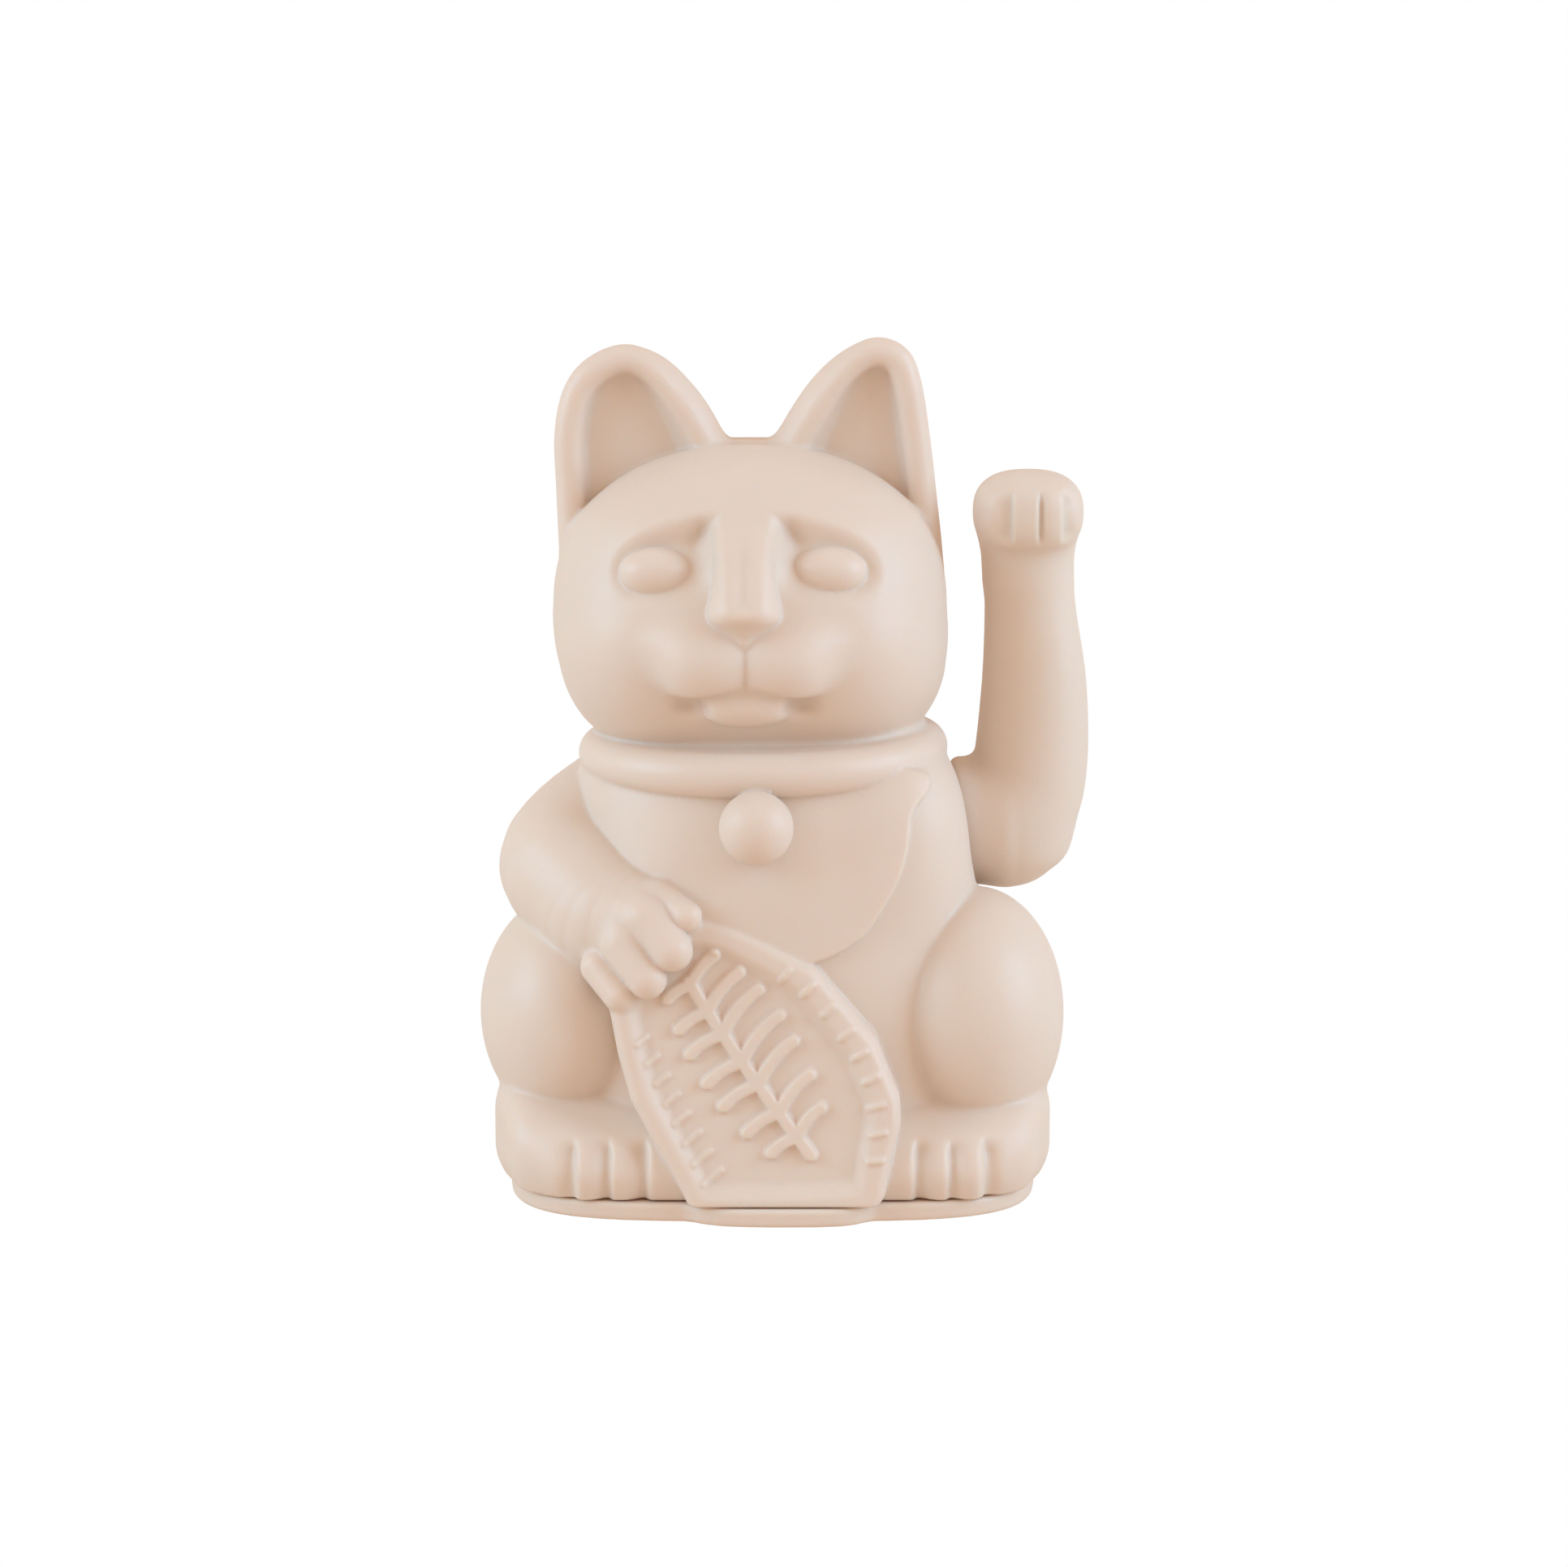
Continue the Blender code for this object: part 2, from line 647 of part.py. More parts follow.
def base_outline(inset=0.0):
    """The base plate's edge: square at the toes, round at the back."""
    points = []
    for index in range(44):
        turn = math.tau * (index + 0.5) / 44
        power = 4.0 if math.sin(turn) < 0 else 2.5
        x, y = superellipse(turn, 46.0 - inset, 38.6 - inset, power)
        points.append((x, 0.6 + y))
    return points


def add_slab(bm, outline, low, high):
    """A level plate from its outline."""
    add_rings(bm, [[(x, y, z) for x, y in outline] for z in (low, high)])


def base_form():
    """The plate, with the tongue that runs out under the coin."""
    plate = solid("base_plate", add_slab, base_outline(), 0, BASE_TOP)
    tongue = ((-15.5, -30), (16.8, -30), (17.6, -36.5), (15.5, -41.8), (-11.5, -41.8), (-14.5, -36.5))
    return combine(plate, "UNION", solid("tongue", add_slab, tongue, 0, BASE_TOP))


def torso_ring(inset):
    """The torso's lowest section drawn in, for the lip that locates the shells."""
    _, centre_x, half_x, front, back, power = TORSO[0]
    points = []
    for index in range(32):
        turn = math.tau * index / 32
        x, y = superellipse(turn, half_x - inset, (back - front) / 2 - inset, power)
        points.append((centre_x + x, (front + back) / 2 + y))
    return points


def add_base_standings(plate):
    """The lip, the cell box, and the bosses for frame and board."""
    lip = solid("lip", add_slab, torso_ring(WALL + LIP_PLAY), BASE_TOP - 1, LIP_TOP)
    inside = torso_ring(WALL + LIP_PLAY + LIP_WIDTH)
    combine(lip, "DIFFERENCE", solid("inside", add_slab, inside, 0, LIP_TOP + 3))
    for x, y in BASE_SCREWS.values():
        room = solid("post_room", add_rod, (x, y, 0), (x, y, LIP_TOP + 3), POST_R + 0.7, 16)
        combine(lip, "DIFFERENCE", room)
    low, high = (Vector(corner) for corner in BOX_INNER)
    wall = Vector((BOX_WALL,) * 3)
    box = solid("box", add_box, (*(low - wall).xy, BASE_TOP - 1), high + wall * 0.85)
    combine(plate, "UNION", lip, box)
    bm = bmesh.new()
    for x, y in FRAME_SCREWS:
        add_rod(bm, (x, y, BASE_TOP - 1), (x, y, 6.0), 3.4, 14)
    for x, y in BOARD_SCREWS:
        add_rod(bm, (x, y, BASE_TOP - 1), (x, y, BOARD[0][2] - GAP), 2.6, 14)
    combine(plate, "UNION", make("bosses", bm))


def cut_base_holes(plate):
    """The cell's bay, the door's recess, the switch slot and the screw holes."""
    combine(plate, "DIFFERENCE", solid("bay", add_box, (*BOX_INNER[0][:2], -1), BOX_INNER[1]))
    low, high = DOOR
    edges = (low[0] - GAP, low[1] - GAP, -1), (high[0] + 0.9, high[1] + GAP, high[2] + GAP)
    recess = solid("recess", add_box, *edges)
    x, y = SWITCH
    slot = solid("slot", add_box, (x - 4, y - 1.6, -1), (x + 4, y + 1.6, 5))
    combine(plate, "DIFFERENCE", recess, slot)
    bm = bmesh.new()
    for x, y in BASE_SCREWS.values():
        add_turned(bm, ((0, 3.1), (2.0, 3.1), (2.0, 1.8), (5, 1.8)), (x, y, -0.2), (0, 0, 1), 14)
    for x, y in FRAME_SCREWS + BOARD_SCREWS:
        add_rod(bm, (x, y, 1.0), (x, y, 12), 1.35, 10)
    combine(plate, "DIFFERENCE", make("holes", bm))


def build_base():
    """The base plate and its hinged door."""
    plate = base_form()
    add_base_standings(plate)
    cut_base_holes(plate)
    bm = bmesh.new()
    add_box(bm, *DOOR)
    door = make("battery_door", bm, "body_plastic", DOOR_HINGE)
    bm = bmesh.new()
    for step in range(3):
        x = DOOR[0][0] + 3 + 2 * step
        add_box(bm, (x, CELL_Y - 4, -1), (x + 0.8, CELL_Y + 4, 0.5))
    combine(door, "DIFFERENCE", make("grip_grooves", bm))


def build_cell():
    """The cell with its raised positive end, and the contacts at both ends."""
    start = -CELL_LENGTH / 2 + 0.2
    bm = bmesh.new()
    profile = ((0, 6.6), (0.4, CELL_R), (CELL_LENGTH - 0.4, CELL_R), (CELL_LENGTH, 6.4))
    nub = ((CELL_LENGTH, 2.7), (CELL_LENGTH + 1.2, 2.7))
    add_turned(bm, profile + nub, (start, CELL_Y, CELL_Z), (1, 0, 0), 24)
    make("battery_cell", bm, "cell_wrap")
    bm = bmesh.new()
    plate_x = BOX_INNER[1][0] - 0.2
    add_box(bm, (plate_x - 0.4, CELL_Y - 5, 5.0), (plate_x, CELL_Y + 5, 16.0))
    make("contact_plate", bm, "steel")


def build_contact_spring():
    """The conical wire spring at the cell's flat end."""
    end_x = -CELL_LENGTH / 2 + 0.2 - GAP
    start_x = BOX_INNER[0][0] + 0.8
    rings = []
    count = 34
    for index in range(count):
        share = index / (count - 1)
        turn = math.tau * SPRING_TURNS * share
        radius = 4.6 - 2.2 * share
        spine = Vector((start_x + (end_x - 0.5 - start_x) * share, 0, 0))
        out = Vector((0, math.cos(turn), math.sin(turn)))
        centre = Vector((0, CELL_Y, CELL_Z)) + spine + out * radius
        around = [math.tau * side / 5 for side in range(5)]
        round_wire = [out * math.cos(a) + Vector((math.sin(a), 0, 0)) for a in around]
        rings.append([centre + SPRING_WIRE_R * offset for offset in round_wire])
    bm = bmesh.new()
    add_rings(bm, rings)
    make("contact_spring", bm, "steel")


def build_screw(name, place, head_z, tip_z, head_r, shank_r):
    """A pan-head screw. The head lies on the far side of head_z from the tip."""
    x, y = place
    up = 1 if tip_z > head_z else -1
    length = abs(tip_z - head_z)
    profile = (
        (-SCREW_HEAD, 0.75 * head_r), (-0.55 * SCREW_HEAD, head_r), (0, head_r),
        (0, shank_r), (length - SCREW_POINT, shank_r), (length, 0.3 * shank_r),
    )
    bm = bmesh.new()
    add_turned(bm, profile, (x, y, head_z), (0, 0, up), 10)
    make(name, bm, "steel")


def build_screws():
    """Base screws from below, frame and board screws from above."""
    for key, place in BASE_SCREWS.items():
        build_screw(f"base_screw_{key}", place, 1.6, 10.5, 2.7, 1.25)
    for index, place in enumerate(FRAME_SCREWS, 1):
        build_screw(f"frame_screw_{index}", place, FRAME_TOP + GAP, 1.5, 2.4, 1.05)
    for index, place in enumerate(BOARD_SCREWS, 1):
        build_screw(f"board_screw_{index}", place, BOARD[1][2] + GAP, 3.5, 2.2, 1.05)


def build_board():
    """The circuit board and the parts soldered on it."""
    bm = bmesh.new()
    add_box(bm, *BOARD)
    board = make("circuit_board", bm, "board_green")
    for x, y in BOARD_SCREWS:
        combine(board, "DIFFERENCE", solid("hole", add_rod, (x, y, 8), (x, y, 12), 1.5, 10))
    top = BOARD[1][2] + GAP
    bm = bmesh.new()
    turns = [math.pi * index / 8 for index in range(9)]
    flat = [(2.4 * math.cos(t), 2.4 * math.sin(t)) for t in turns]
    add_slab(bm, [(x - 8.0, y - 6.0) for x, y in flat], top, top + 5.0)
    make("transistor", bm, "black_plastic")
    bm = bmesh.new()
    add_rod(bm, (-18, -11, top), (-18, -11, top + 9.5), 3.1, 18)
    make("capacitor", bm, "cell_wrap")
    bm = bmesh.new()
    add_turned(bm, ((0, 0.9), (0.8, 1.25), (5.4, 1.25), (6.2, 0.9)), (-13, 1.0, top + 1.25), (1, 0, 0), 12)
    make("resistor", bm, "resistor_tan")


def build_switch():
    """The slide switch: its body inside and its knob in the base's slot."""
    x, y = SWITCH
    bm = bmesh.new()
    add_box(bm, (x - 5.5, y - 3.0, BASE_TOP + GAP), (x + 5.5, y + 3.0, 7.6))
    make("switch_body", bm, "black_plastic")
    bm = bmesh.new()
    add_box(bm, (x - 3.4, y - 1.2, 0.6), (x - 0.4, y + 1.2, 2.9))
    make("switch_knob", bm, "black_plastic", (x - 1.9, y, 1.75))


def build_wire(name, finish, route):
    """A thin lead along a smooth route."""
    points = [Vector(p) for p in smoothed(route, 4)]
    curve = bpy.data.curves.new(name, "CURVE")
    curve.dimensions = "3D"
    curve.bevel_depth = WIRE_R * MM
    curve.bevel_resolution = 1
    curve.use_fill_caps = True
    spline = curve.splines.new("POLY")
    spline.points.add(len(points) - 1)
    for slot, point in zip(spline.points, points):
        slot.co = (*(point * MM), 1.0)
    curve.materials.append(finish_of(finish))
    made = bpy.data.objects.new(name, curve)
    bpy.context.scene.collection.objects.link(made)


def build_wires():
    """Leads from the cell's contacts and from the coil to the board."""
    build_wire("cell_lead_red", "red_wire", (
        (26.9 + BOX_WALL, 20, 13), (30, 17, 14.5), (30.3, 9, 14), (28.5, -3, 12.5), (24, -17.5, 12.5),
        (12, -18.5, 12.5), (5, -16, 12.6), (1.5, -13, 11.8),
    ))
    build_wire("cell_lead_black", "black_plastic", (
        (-30.5, 16, 14), (-30.9, 13, 14), (-30.6, 9.5, 13.4), (-28.5, 6.5, 12.4), (-25, 4.5, 11.6),
    ))
    build_wire("coil_lead", "copper", (
        (COIL_X, -3.3, 12.0), (13.2, -4.8, 12.6), (9.0, -7.2, 12.9), (4.5, -7.6, 13.0), (1.2, -6.4, 12.4),
        (0.2, -4.8, 11.6),
    ))


def main():
    """Builds the figurine in an empty scene."""
    for old in list(bpy.data.objects):
        bpy.data.objects.remove(old)
    build_shells()
    build_arm()
    build_axle()
    build_pendulum()
    build_frame()
    build_coil()
    build_base()
    build_cell()
    build_contact_spring()
    build_screws()
    build_board()
    build_switch()
    build_wires()


main()
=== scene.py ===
# %% [markdown]
# # A beckoning cat in moulded plastic
# The figurine is two thin plastic shells on a base plate, with an arm that nods on an axle.
# This lesson loads the fixed frame's meshes from model.glb, sculpts the plastic skins with distance
# functions, makes screws, coil and spring with Geometry Nodes, and gives each piece its finish.
# The cat faces -Y and stands on Z = 0. Shapes are thought out in millimetres; Blender works in metres.

import math
from concurrent.futures import ThreadPoolExecutor
from itertools import product

import bpy
import numpy as np
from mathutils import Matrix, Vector


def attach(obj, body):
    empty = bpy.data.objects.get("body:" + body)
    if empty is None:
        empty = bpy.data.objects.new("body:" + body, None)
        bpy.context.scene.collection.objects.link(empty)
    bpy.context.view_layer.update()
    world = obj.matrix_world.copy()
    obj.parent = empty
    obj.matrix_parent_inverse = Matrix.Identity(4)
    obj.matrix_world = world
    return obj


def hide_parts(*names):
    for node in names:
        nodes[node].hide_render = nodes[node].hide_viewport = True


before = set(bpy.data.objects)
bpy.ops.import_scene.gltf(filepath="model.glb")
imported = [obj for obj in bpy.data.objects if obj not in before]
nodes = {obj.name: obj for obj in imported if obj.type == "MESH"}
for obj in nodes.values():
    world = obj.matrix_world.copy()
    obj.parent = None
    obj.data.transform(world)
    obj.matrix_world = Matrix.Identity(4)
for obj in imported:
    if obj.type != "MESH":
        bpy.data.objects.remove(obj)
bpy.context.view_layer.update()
MM = 0.001

# %% [markdown]
# ## The camera
# Product pictures of small figures are taken with a long lens from a little above, so that the
# face keeps its proportions. The camera stands 0.8 m away and looks down by ten degrees.

# %% Place the camera
CAMERA_TARGET = Vector((2.0, 0.0, 69.25)) * MM
CAMERA_DISTANCE = 0.8
CAMERA_PITCH = math.radians(10.0)
FOCAL_LENGTH = 104.35
SENSOR_WIDTH = 36.0
lens = bpy.data.cameras.new("camera")
lens.lens = FOCAL_LENGTH
lens.sensor_width = SENSOR_WIDTH
camera = bpy.data.objects.new("camera", lens)
sight = Vector((0.0, math.cos(CAMERA_PITCH), -math.sin(CAMERA_PITCH)))
camera.location = CAMERA_TARGET - sight * CAMERA_DISTANCE
camera.rotation_euler = sight.to_track_quat("-Z", "Y").to_euler()
bpy.context.scene.collection.objects.link(camera)
bpy.context.scene.camera = camera
print("camera at", [round(v, 3) for v in camera.location])

# %% [markdown]
# ## Distance functions
# The real cat was modelled in clay or on a screen as soft masses that melt into each other, with
# crisp creases between them. A distance function says for any point how far it lies outside a
# mass, and is negative inside. Two masses melt with a smooth minimum whose width is the radius of
# the crease. This gives clean creases that subdivision modelling or plain remeshing would lose.

# %% Balls, limbs, stacks and how they melt


def ball(p, centre, radii, power=2.0):
    """A squarish ball, round at power 2."""
    q = [np.abs(a - c) / r for a, c, r in zip(p, centre, radii)]
    if power == 2.0:
        reach = np.sqrt(q[0] ** 2 + q[1] ** 2 + q[2] ** 2) + 1e-6
        pull = [a / reach for a in q]
    else:
        reach = (q[0] ** power + q[1] ** power + q[2] ** power) ** (1 / power) + 1e-6
        pull = [(a / reach) ** (power - 1) for a in q]
    slope = np.sqrt(sum((a / r) ** 2 for a, r in zip(pull, radii)))
    return (reach - 1) / slope


def limb(p, chain):
    """A limb through balls given as (x, y, z, radius)."""
    nearest = None
    for a, b in zip(chain, chain[1:]):
        a, b = np.float32(a), np.float32(b)
        axis = b - a
        off = [v - c for v, c in zip(p, a)]
        along = sum(o * c for o, c in zip(off, axis[:3])) / float(axis[:3] @ axis[:3])
        along = np.clip(along, 0.0, 1.0)
        far = np.sqrt(sum((o - along * c) ** 2 for o, c in zip(off, axis[:3])))
        far -= a[3] + along * axis[3]
        nearest = far if nearest is None else np.minimum(nearest, far)
    return nearest


def melt(a, b, width):
    """The union of two masses, with a soft crease of some width."""
    h = np.maximum(width - np.abs(a - b), 0.0) / width
    return np.minimum(a, b) - h * h * (width * 0.25)


def carve(a, b, width):
    """The first mass with the second taken away."""
    return -melt(-a, b, width)


def keep(a, b, width):
    """What lies in both masses."""
    return -melt(-a, -b, width)


def melted(parts, width):
    """Several masses melted into one."""
    whole = parts[0]
    for part in parts[1:]:
        whole = melt(whole, part, width)
    return whole


def smoothed(points, steps=8):
    """A denser line through some points, by Catmull-Rom."""
    points = np.array([points[0], *points, points[-1]], np.float64)
    made = []
    for a, b, c, d in zip(points, points[1:], points[2:], points[3:]):
        turn, bend = 2 * a - 5 * b + 4 * c - d, 3 * b - a - 3 * c + d
        for t in np.arange(steps) / steps:
            made.append(0.5 * (2 * b + (c - a) * t + turn * t**2 + bend * t**3))
    return np.array([*made, points[-1]])


def oval(x, y, half_x, half_y, middle_y, power):
    """How far a place lies outside a squarish oval."""
    qx, qy = np.abs(x) / half_x, np.abs(y - middle_y) / half_y
    reach = (qx**power + qy**power) ** (1 / power) + 1e-6
    pull_x, pull_y = (qx / reach) ** (power - 1) / half_x, (qy / reach) ** (power - 1) / half_y
    return (reach - 1) / np.maximum(np.sqrt(pull_x**2 + pull_y**2), 1e-4)


def stack(p, rows, top_width=2.0):
    """A body through level sections: height, centre x, half width, front y, back y, squareness."""
    table = smoothed(rows)
    x, y, z = p
    columns = [np.interp(z, table[:, 0], table[:, i]).astype(np.float32) for i in range(1, 6)]
    centre, half, front, back, power = columns
    side = oval(x - centre, y, half, (back - front) / 2, (front + back) / 2, power)
    ends = np.maximum(table[0, 0] - z, z - table[-1, 0])
    return keep(side, ends, top_width)


def plate(inside, beyond, rounding):
    """A flat piece with round edges, from the distances inside its outline and beyond its faces."""
    q0, q1 = rounding - inside, beyond + rounding
    return np.hypot(np.maximum(q0, 0), np.maximum(q1, 0)) + np.minimum(np.maximum(q0, q1), 0) - rounding


def local(d, p, low, high, change):
    """Applies a change only to the points inside a box, to save time."""
    inside = np.ones(len(d), bool)
    for values, a, b in zip(p, low, high):
        inside &= (values > a) & (values < b)
    if inside.any():
        d[inside] = change(d[inside], tuple(values[inside] for values in p))
    return d
print("shape helpers: ball, limb, melt, carve, keep, smoothed, oval, stack, plate, local")
# %% [markdown]
# ## Outlines as maps
# The ears, the coin and the bib are flat drawings with depth. Each outline becomes a map of how
# far every place lies inside its edge, so a rim is simply a band of that distance.

# %% Outline maps


def blurred(grid, spread):
    """A map blurred by a number of steps."""
    reach = int(3 * spread) + 1
    weights = np.exp(-0.5 * (np.arange(-reach, reach + 1) / spread) ** 2)
    weights /= weights.sum()
    for axis in (0, 1):
        count = grid.shape[axis]
        padded = np.pad(grid, [(reach, reach) if a == axis else (0, 0) for a in (0, 1)], mode="edge")
        grid = sum(w * np.take(padded, range(i, i + count), axis=axis) for i, w in enumerate(weights))
    return grid


def places_on(low, high, step):
    """The places of a map."""
    us, vs = np.arange(low[0], high[0], step), np.arange(low[1], high[1], step)
    return np.meshgrid(us, vs, indexing="ij")


def from_line(u, v, a, b):
    """How far places lie from the straight line between two points."""
    ex, ey = b[0] - a[0], b[1] - a[1]
    t = np.clip(((u - a[0]) * ex + (v - a[1]) * ey) / (ex * ex + ey * ey + 1e-12), 0, 1)
    return np.hypot(u - a[0] - t * ex, v - a[1] - t * ey)


def outline_map(outline, low, high, step=0.25, spread=2.0):
    """How far each place lies inside an outline, negative outside."""
    u, v = places_on(low, high, step)
    nearest, inside = np.full(u.shape, 1e9), np.zeros(u.shape, bool)
    outline = np.array(outline, np.float64)
    for a, b in zip(outline, np.roll(outline, -1, axis=0)):
        nearest = np.minimum(nearest, from_line(u, v, a, b))
        if a[1] != b[1]:
            crossing = (b[0] - a[0]) * (v - a[1]) / (b[1] - a[1]) + a[0]
            inside ^= ((a[1] > v) != (b[1] > v)) & (u < crossing)
    return blurred(np.where(inside, nearest, -nearest), spread), low, step


def stroke_map(strokes, low, high, step=0.2):
    """How far each place lies from the nearest of some lines."""
    u, v = places_on(low, high, step)
    nearest = np.full(u.shape, 1e9)
    for line in strokes:
        line = np.array(line, np.float64)
        for a, b in zip(line, line[1:]):
            nearest = np.minimum(nearest, from_line(u, v, a, b))
    return nearest, low, step


def read_map(drawn, u, v):
    """The value of a map between its steps."""
    grid, low, step = drawn
    a = np.clip((u - low[0]) / step, 0, grid.shape[0] - 1.001)
    b = np.clip((v - low[1]) / step, 0, grid.shape[1] - 1.001)
    i, j = a.astype(np.int32), b.astype(np.int32)
    a, b = a - i, b - j
    low_side = grid[i, j] * (1 - a) + grid[i + 1, j] * a
    high_side = grid[i, j + 1] * (1 - a) + grid[i + 1, j + 1] * a
    return (low_side * (1 - b) + high_side * b).astype(np.float32)


def dent(d, depth):
    """A surface sunk by some depth. The distance is eased there, because the dent's sides are steep."""
    return (d + depth) / (1 + 1.5 * np.minimum(np.abs(depth), 1.0))


def ramp(value, start, end):
    """0 before the start, 1 after the end, smooth between."""
    t = np.clip((value - start) / (end - start), 0, 1)
    return t * t * (3 - 2 * t)
print("map helpers: outline_map, stroke_map, read_map, dent, ramp")
# %% [markdown]
# ## From distance to mesh
# A grid is filled only close to the surface, first in large blocks and then in small ones. One
# vertex goes in each grid cell that the surface crosses, and one quad across each crossed edge
# ("surface nets"). Then every vertex slides onto the exact surface, which a plain voxel remesh
# can't do, so that highlights run smoothly.

# %% Fill a grid close to the surface
CHUNK = 60000
LARGE_BLOCK, LARGE_MARGIN = 8, 0.8
SMALL_BLOCK, SMALL_MARGIN = 2, 0.25


def measured(field, points):
    """A field at many points, worked out in pieces on all cores."""
    parts = [tuple(axis[i : i + CHUNK] for axis in points) for i in range(0, len(points[0]), CHUNK)]
    with ThreadPoolExecutor(4) as pool:
        return np.concatenate(list(pool.map(field, parts))) if parts else np.zeros(0, np.float32)


def near_blocks(field, axes, cells, size, margin):
    """Which blocks of cells the surface may cross, and the side on which the others lie."""
    low = [axis[index] for axis, index in zip(axes, cells)]
    high = [axis[np.minimum(index + size, len(axis) - 1)] for axis, index in zip(axes, cells)]
    middle = tuple(((a + b) / 2).astype(np.float32) for a, b in zip(low, high))
    half = np.sqrt(sum(((b - a) / 2) ** 2 for a, b in zip(low, high)))
    d = measured(field, middle)
    return np.abs(d) < half * 1.4 + margin, d


def kept_inside(cells, offset, shape):
    """The grid points at an offset from some cells, without leaving the grid."""
    return tuple(np.minimum(c + o, n - 1) for c, o, n in zip(cells, offset, shape))


def filled_grid(field, axes):
    """The field on a grid: exact close to the surface, and elsewhere only its side."""
    shape = tuple(len(axis) for axis in axes)
    starts = np.meshgrid(*[np.arange(0, n - 1, LARGE_BLOCK) for n in shape], indexing="ij")
    near, d = near_blocks(field, axes, [s.ravel() for s in starts], LARGE_BLOCK, LARGE_MARGIN)
    value = np.where(d < 0, -1.0, 1.0).astype(np.float32).reshape(starts[0].shape)
    for axis in range(3):
        value = value.repeat(LARGE_BLOCK, axis)
    value = np.pad(value, [(0, max(0, n - m)) for n, m in zip(shape, value.shape)], mode="edge")
    value = np.ascontiguousarray(value[: shape[0], : shape[1], : shape[2]])
    offsets = np.meshgrid(*[np.arange(0, LARGE_BLOCK, SMALL_BLOCK)] * 3, indexing="ij")
    cells = [(s.ravel()[near][:, None] + o.ravel()[None, :]).ravel() for s, o in zip(starts, offsets)]
    valid = np.all([c < n - 1 for c, n in zip(cells, shape)], axis=0)
    cells = [c[valid] for c in cells]
    near, d = near_blocks(field, axes, cells, SMALL_BLOCK, SMALL_MARGIN)
    need = np.zeros(shape, bool)
    for offset in product(range(SMALL_BLOCK + 1), repeat=3):
        value[kept_inside(cells, offset, shape)] = np.where(d < 0, -1.0, 1.0)
        need[kept_inside([c[near] for c in cells], offset, shape)] = True
    at = np.nonzero(need)
    value[at] = measured(field, tuple(axis[i].astype(np.float32) for axis, i in zip(axes, at)))
    return value


# %% Surface nets
CELL_CORNERS = list(product((0, 1), repeat=3))


def net_points(value, axes):
    """One vertex in each cell that the surface crosses, and the numbers of those cells."""
    inside, cut = value < 0, tuple(n - 1 for n in value.shape)
    count = np.zeros(cut, np.uint8)
    for i, j, k in CELL_CORNERS:
        count += inside[i : i + cut[0], j : j + cut[1], k : k + cut[2]]
    cell = np.nonzero((count > 0) & (count < len(CELL_CORNERS)))
    flat = np.ravel_multi_index(cell, cut)
    total, crossed = np.zeros((len(flat), 3)), np.zeros(len(flat))
    for a, axis in product(CELL_CORNERS, range(3)):
        if a[axis]:
            continue
        b = tuple(1 if n == axis else v for n, v in enumerate(a))
        ia, ib = (tuple(c + o for c, o in zip(cell, corner)) for corner in (a, b))
        va, vb = value[ia], value[ib]
        mixed = (va < 0) != (vb < 0)
        share = np.where(mixed, va / np.where(mixed, va - vb, 1.0), 0.0)
        for n in range(3):
            pa, pb = axes[n][ia[n]], axes[n][ib[n]]
            total[:, n] += np.where(mixed, pa + share * (pb - pa), 0.0)
        crossed += mixed
    return total / crossed[:, None], flat


def net_quads(inside, flat):
    """A quad across each grid edge that the surface crosses, facing out."""
    cut, quads = tuple(n - 1 for n in inside.shape), []
    for axis in range(3):
        head, tail = [slice(None)] * 3, [slice(None)] * 3
        head[axis], tail[axis] = slice(0, -1), slice(1, None)
        first, second = inside[tuple(head)], inside[tuple(tail)]
        edge = np.array(np.nonzero(first != second))
        u, v = (axis + 1) % 3, (axis + 2) % 3
        edge = edge[:, (edge[u] > 0) & (edge[v] > 0) & (edge[u] < cut[u]) & (edge[v] < cut[v])]
        ring = []
        for du, dv in ((-1, -1), (0, -1), (0, 0), (-1, 0)):
            spot = edge.copy()
            spot[u] += du
            spot[v] += dv
            ring.append(np.searchsorted(flat, np.ravel_multi_index(tuple(spot), cut)))
        ring = np.array(ring).T
        quads.append(np.where(first[tuple(edge)][:, None], ring, ring[:, ::-1]))
    return np.concatenate(quads)


# %% Slide the net onto the surface, and make the mesh
TETRA = np.array(((1, -1, -1), (-1, -1, 1), (-1, 1, -1), (1, 1, 1)), np.float32)
PROBE = 0.04
LONGEST_SLIDE = 0.6
SLIDES = 2


def slide_on(field, verts):
    """Vertices moved down the slope onto the surface."""
    gradient, level = np.zeros_like(verts), np.zeros(len(verts))
    for corner in TETRA:
        d = measured(field, tuple((verts[:, n] + PROBE * corner[n]).astype(np.float32) for n in range(3)))
        gradient += d[:, None] * corner
        level += d / 4
    gradient /= 4 * PROBE
    step = gradient * (level / np.maximum((gradient**2).sum(1), 0.05))[:, None]
    size = np.linalg.norm(step, axis=1)
    return verts - step * np.minimum(1.0, LONGEST_SLIDE / np.maximum(size, 1e-9))[:, None]


def spaced(stops):
    """A grid axis from (start, spacing) pairs and a closing (end, 0)."""
    coarse = 1.0
    made = []
    for (start, spacing), (end, _) in zip(stops, stops[1:]):
        count = max(1, round((end - start) / (spacing * coarse)))
        made.append(np.linspace(start, end, count, endpoint=False))
    made.append([stops[-1][0]])
    return np.concatenate(made).astype(np.float64)


def linked(name, data):
    """A new object in the scene."""
    made = bpy.data.objects.new(name, data)
    bpy.context.scene.collection.objects.link(made)
    return made


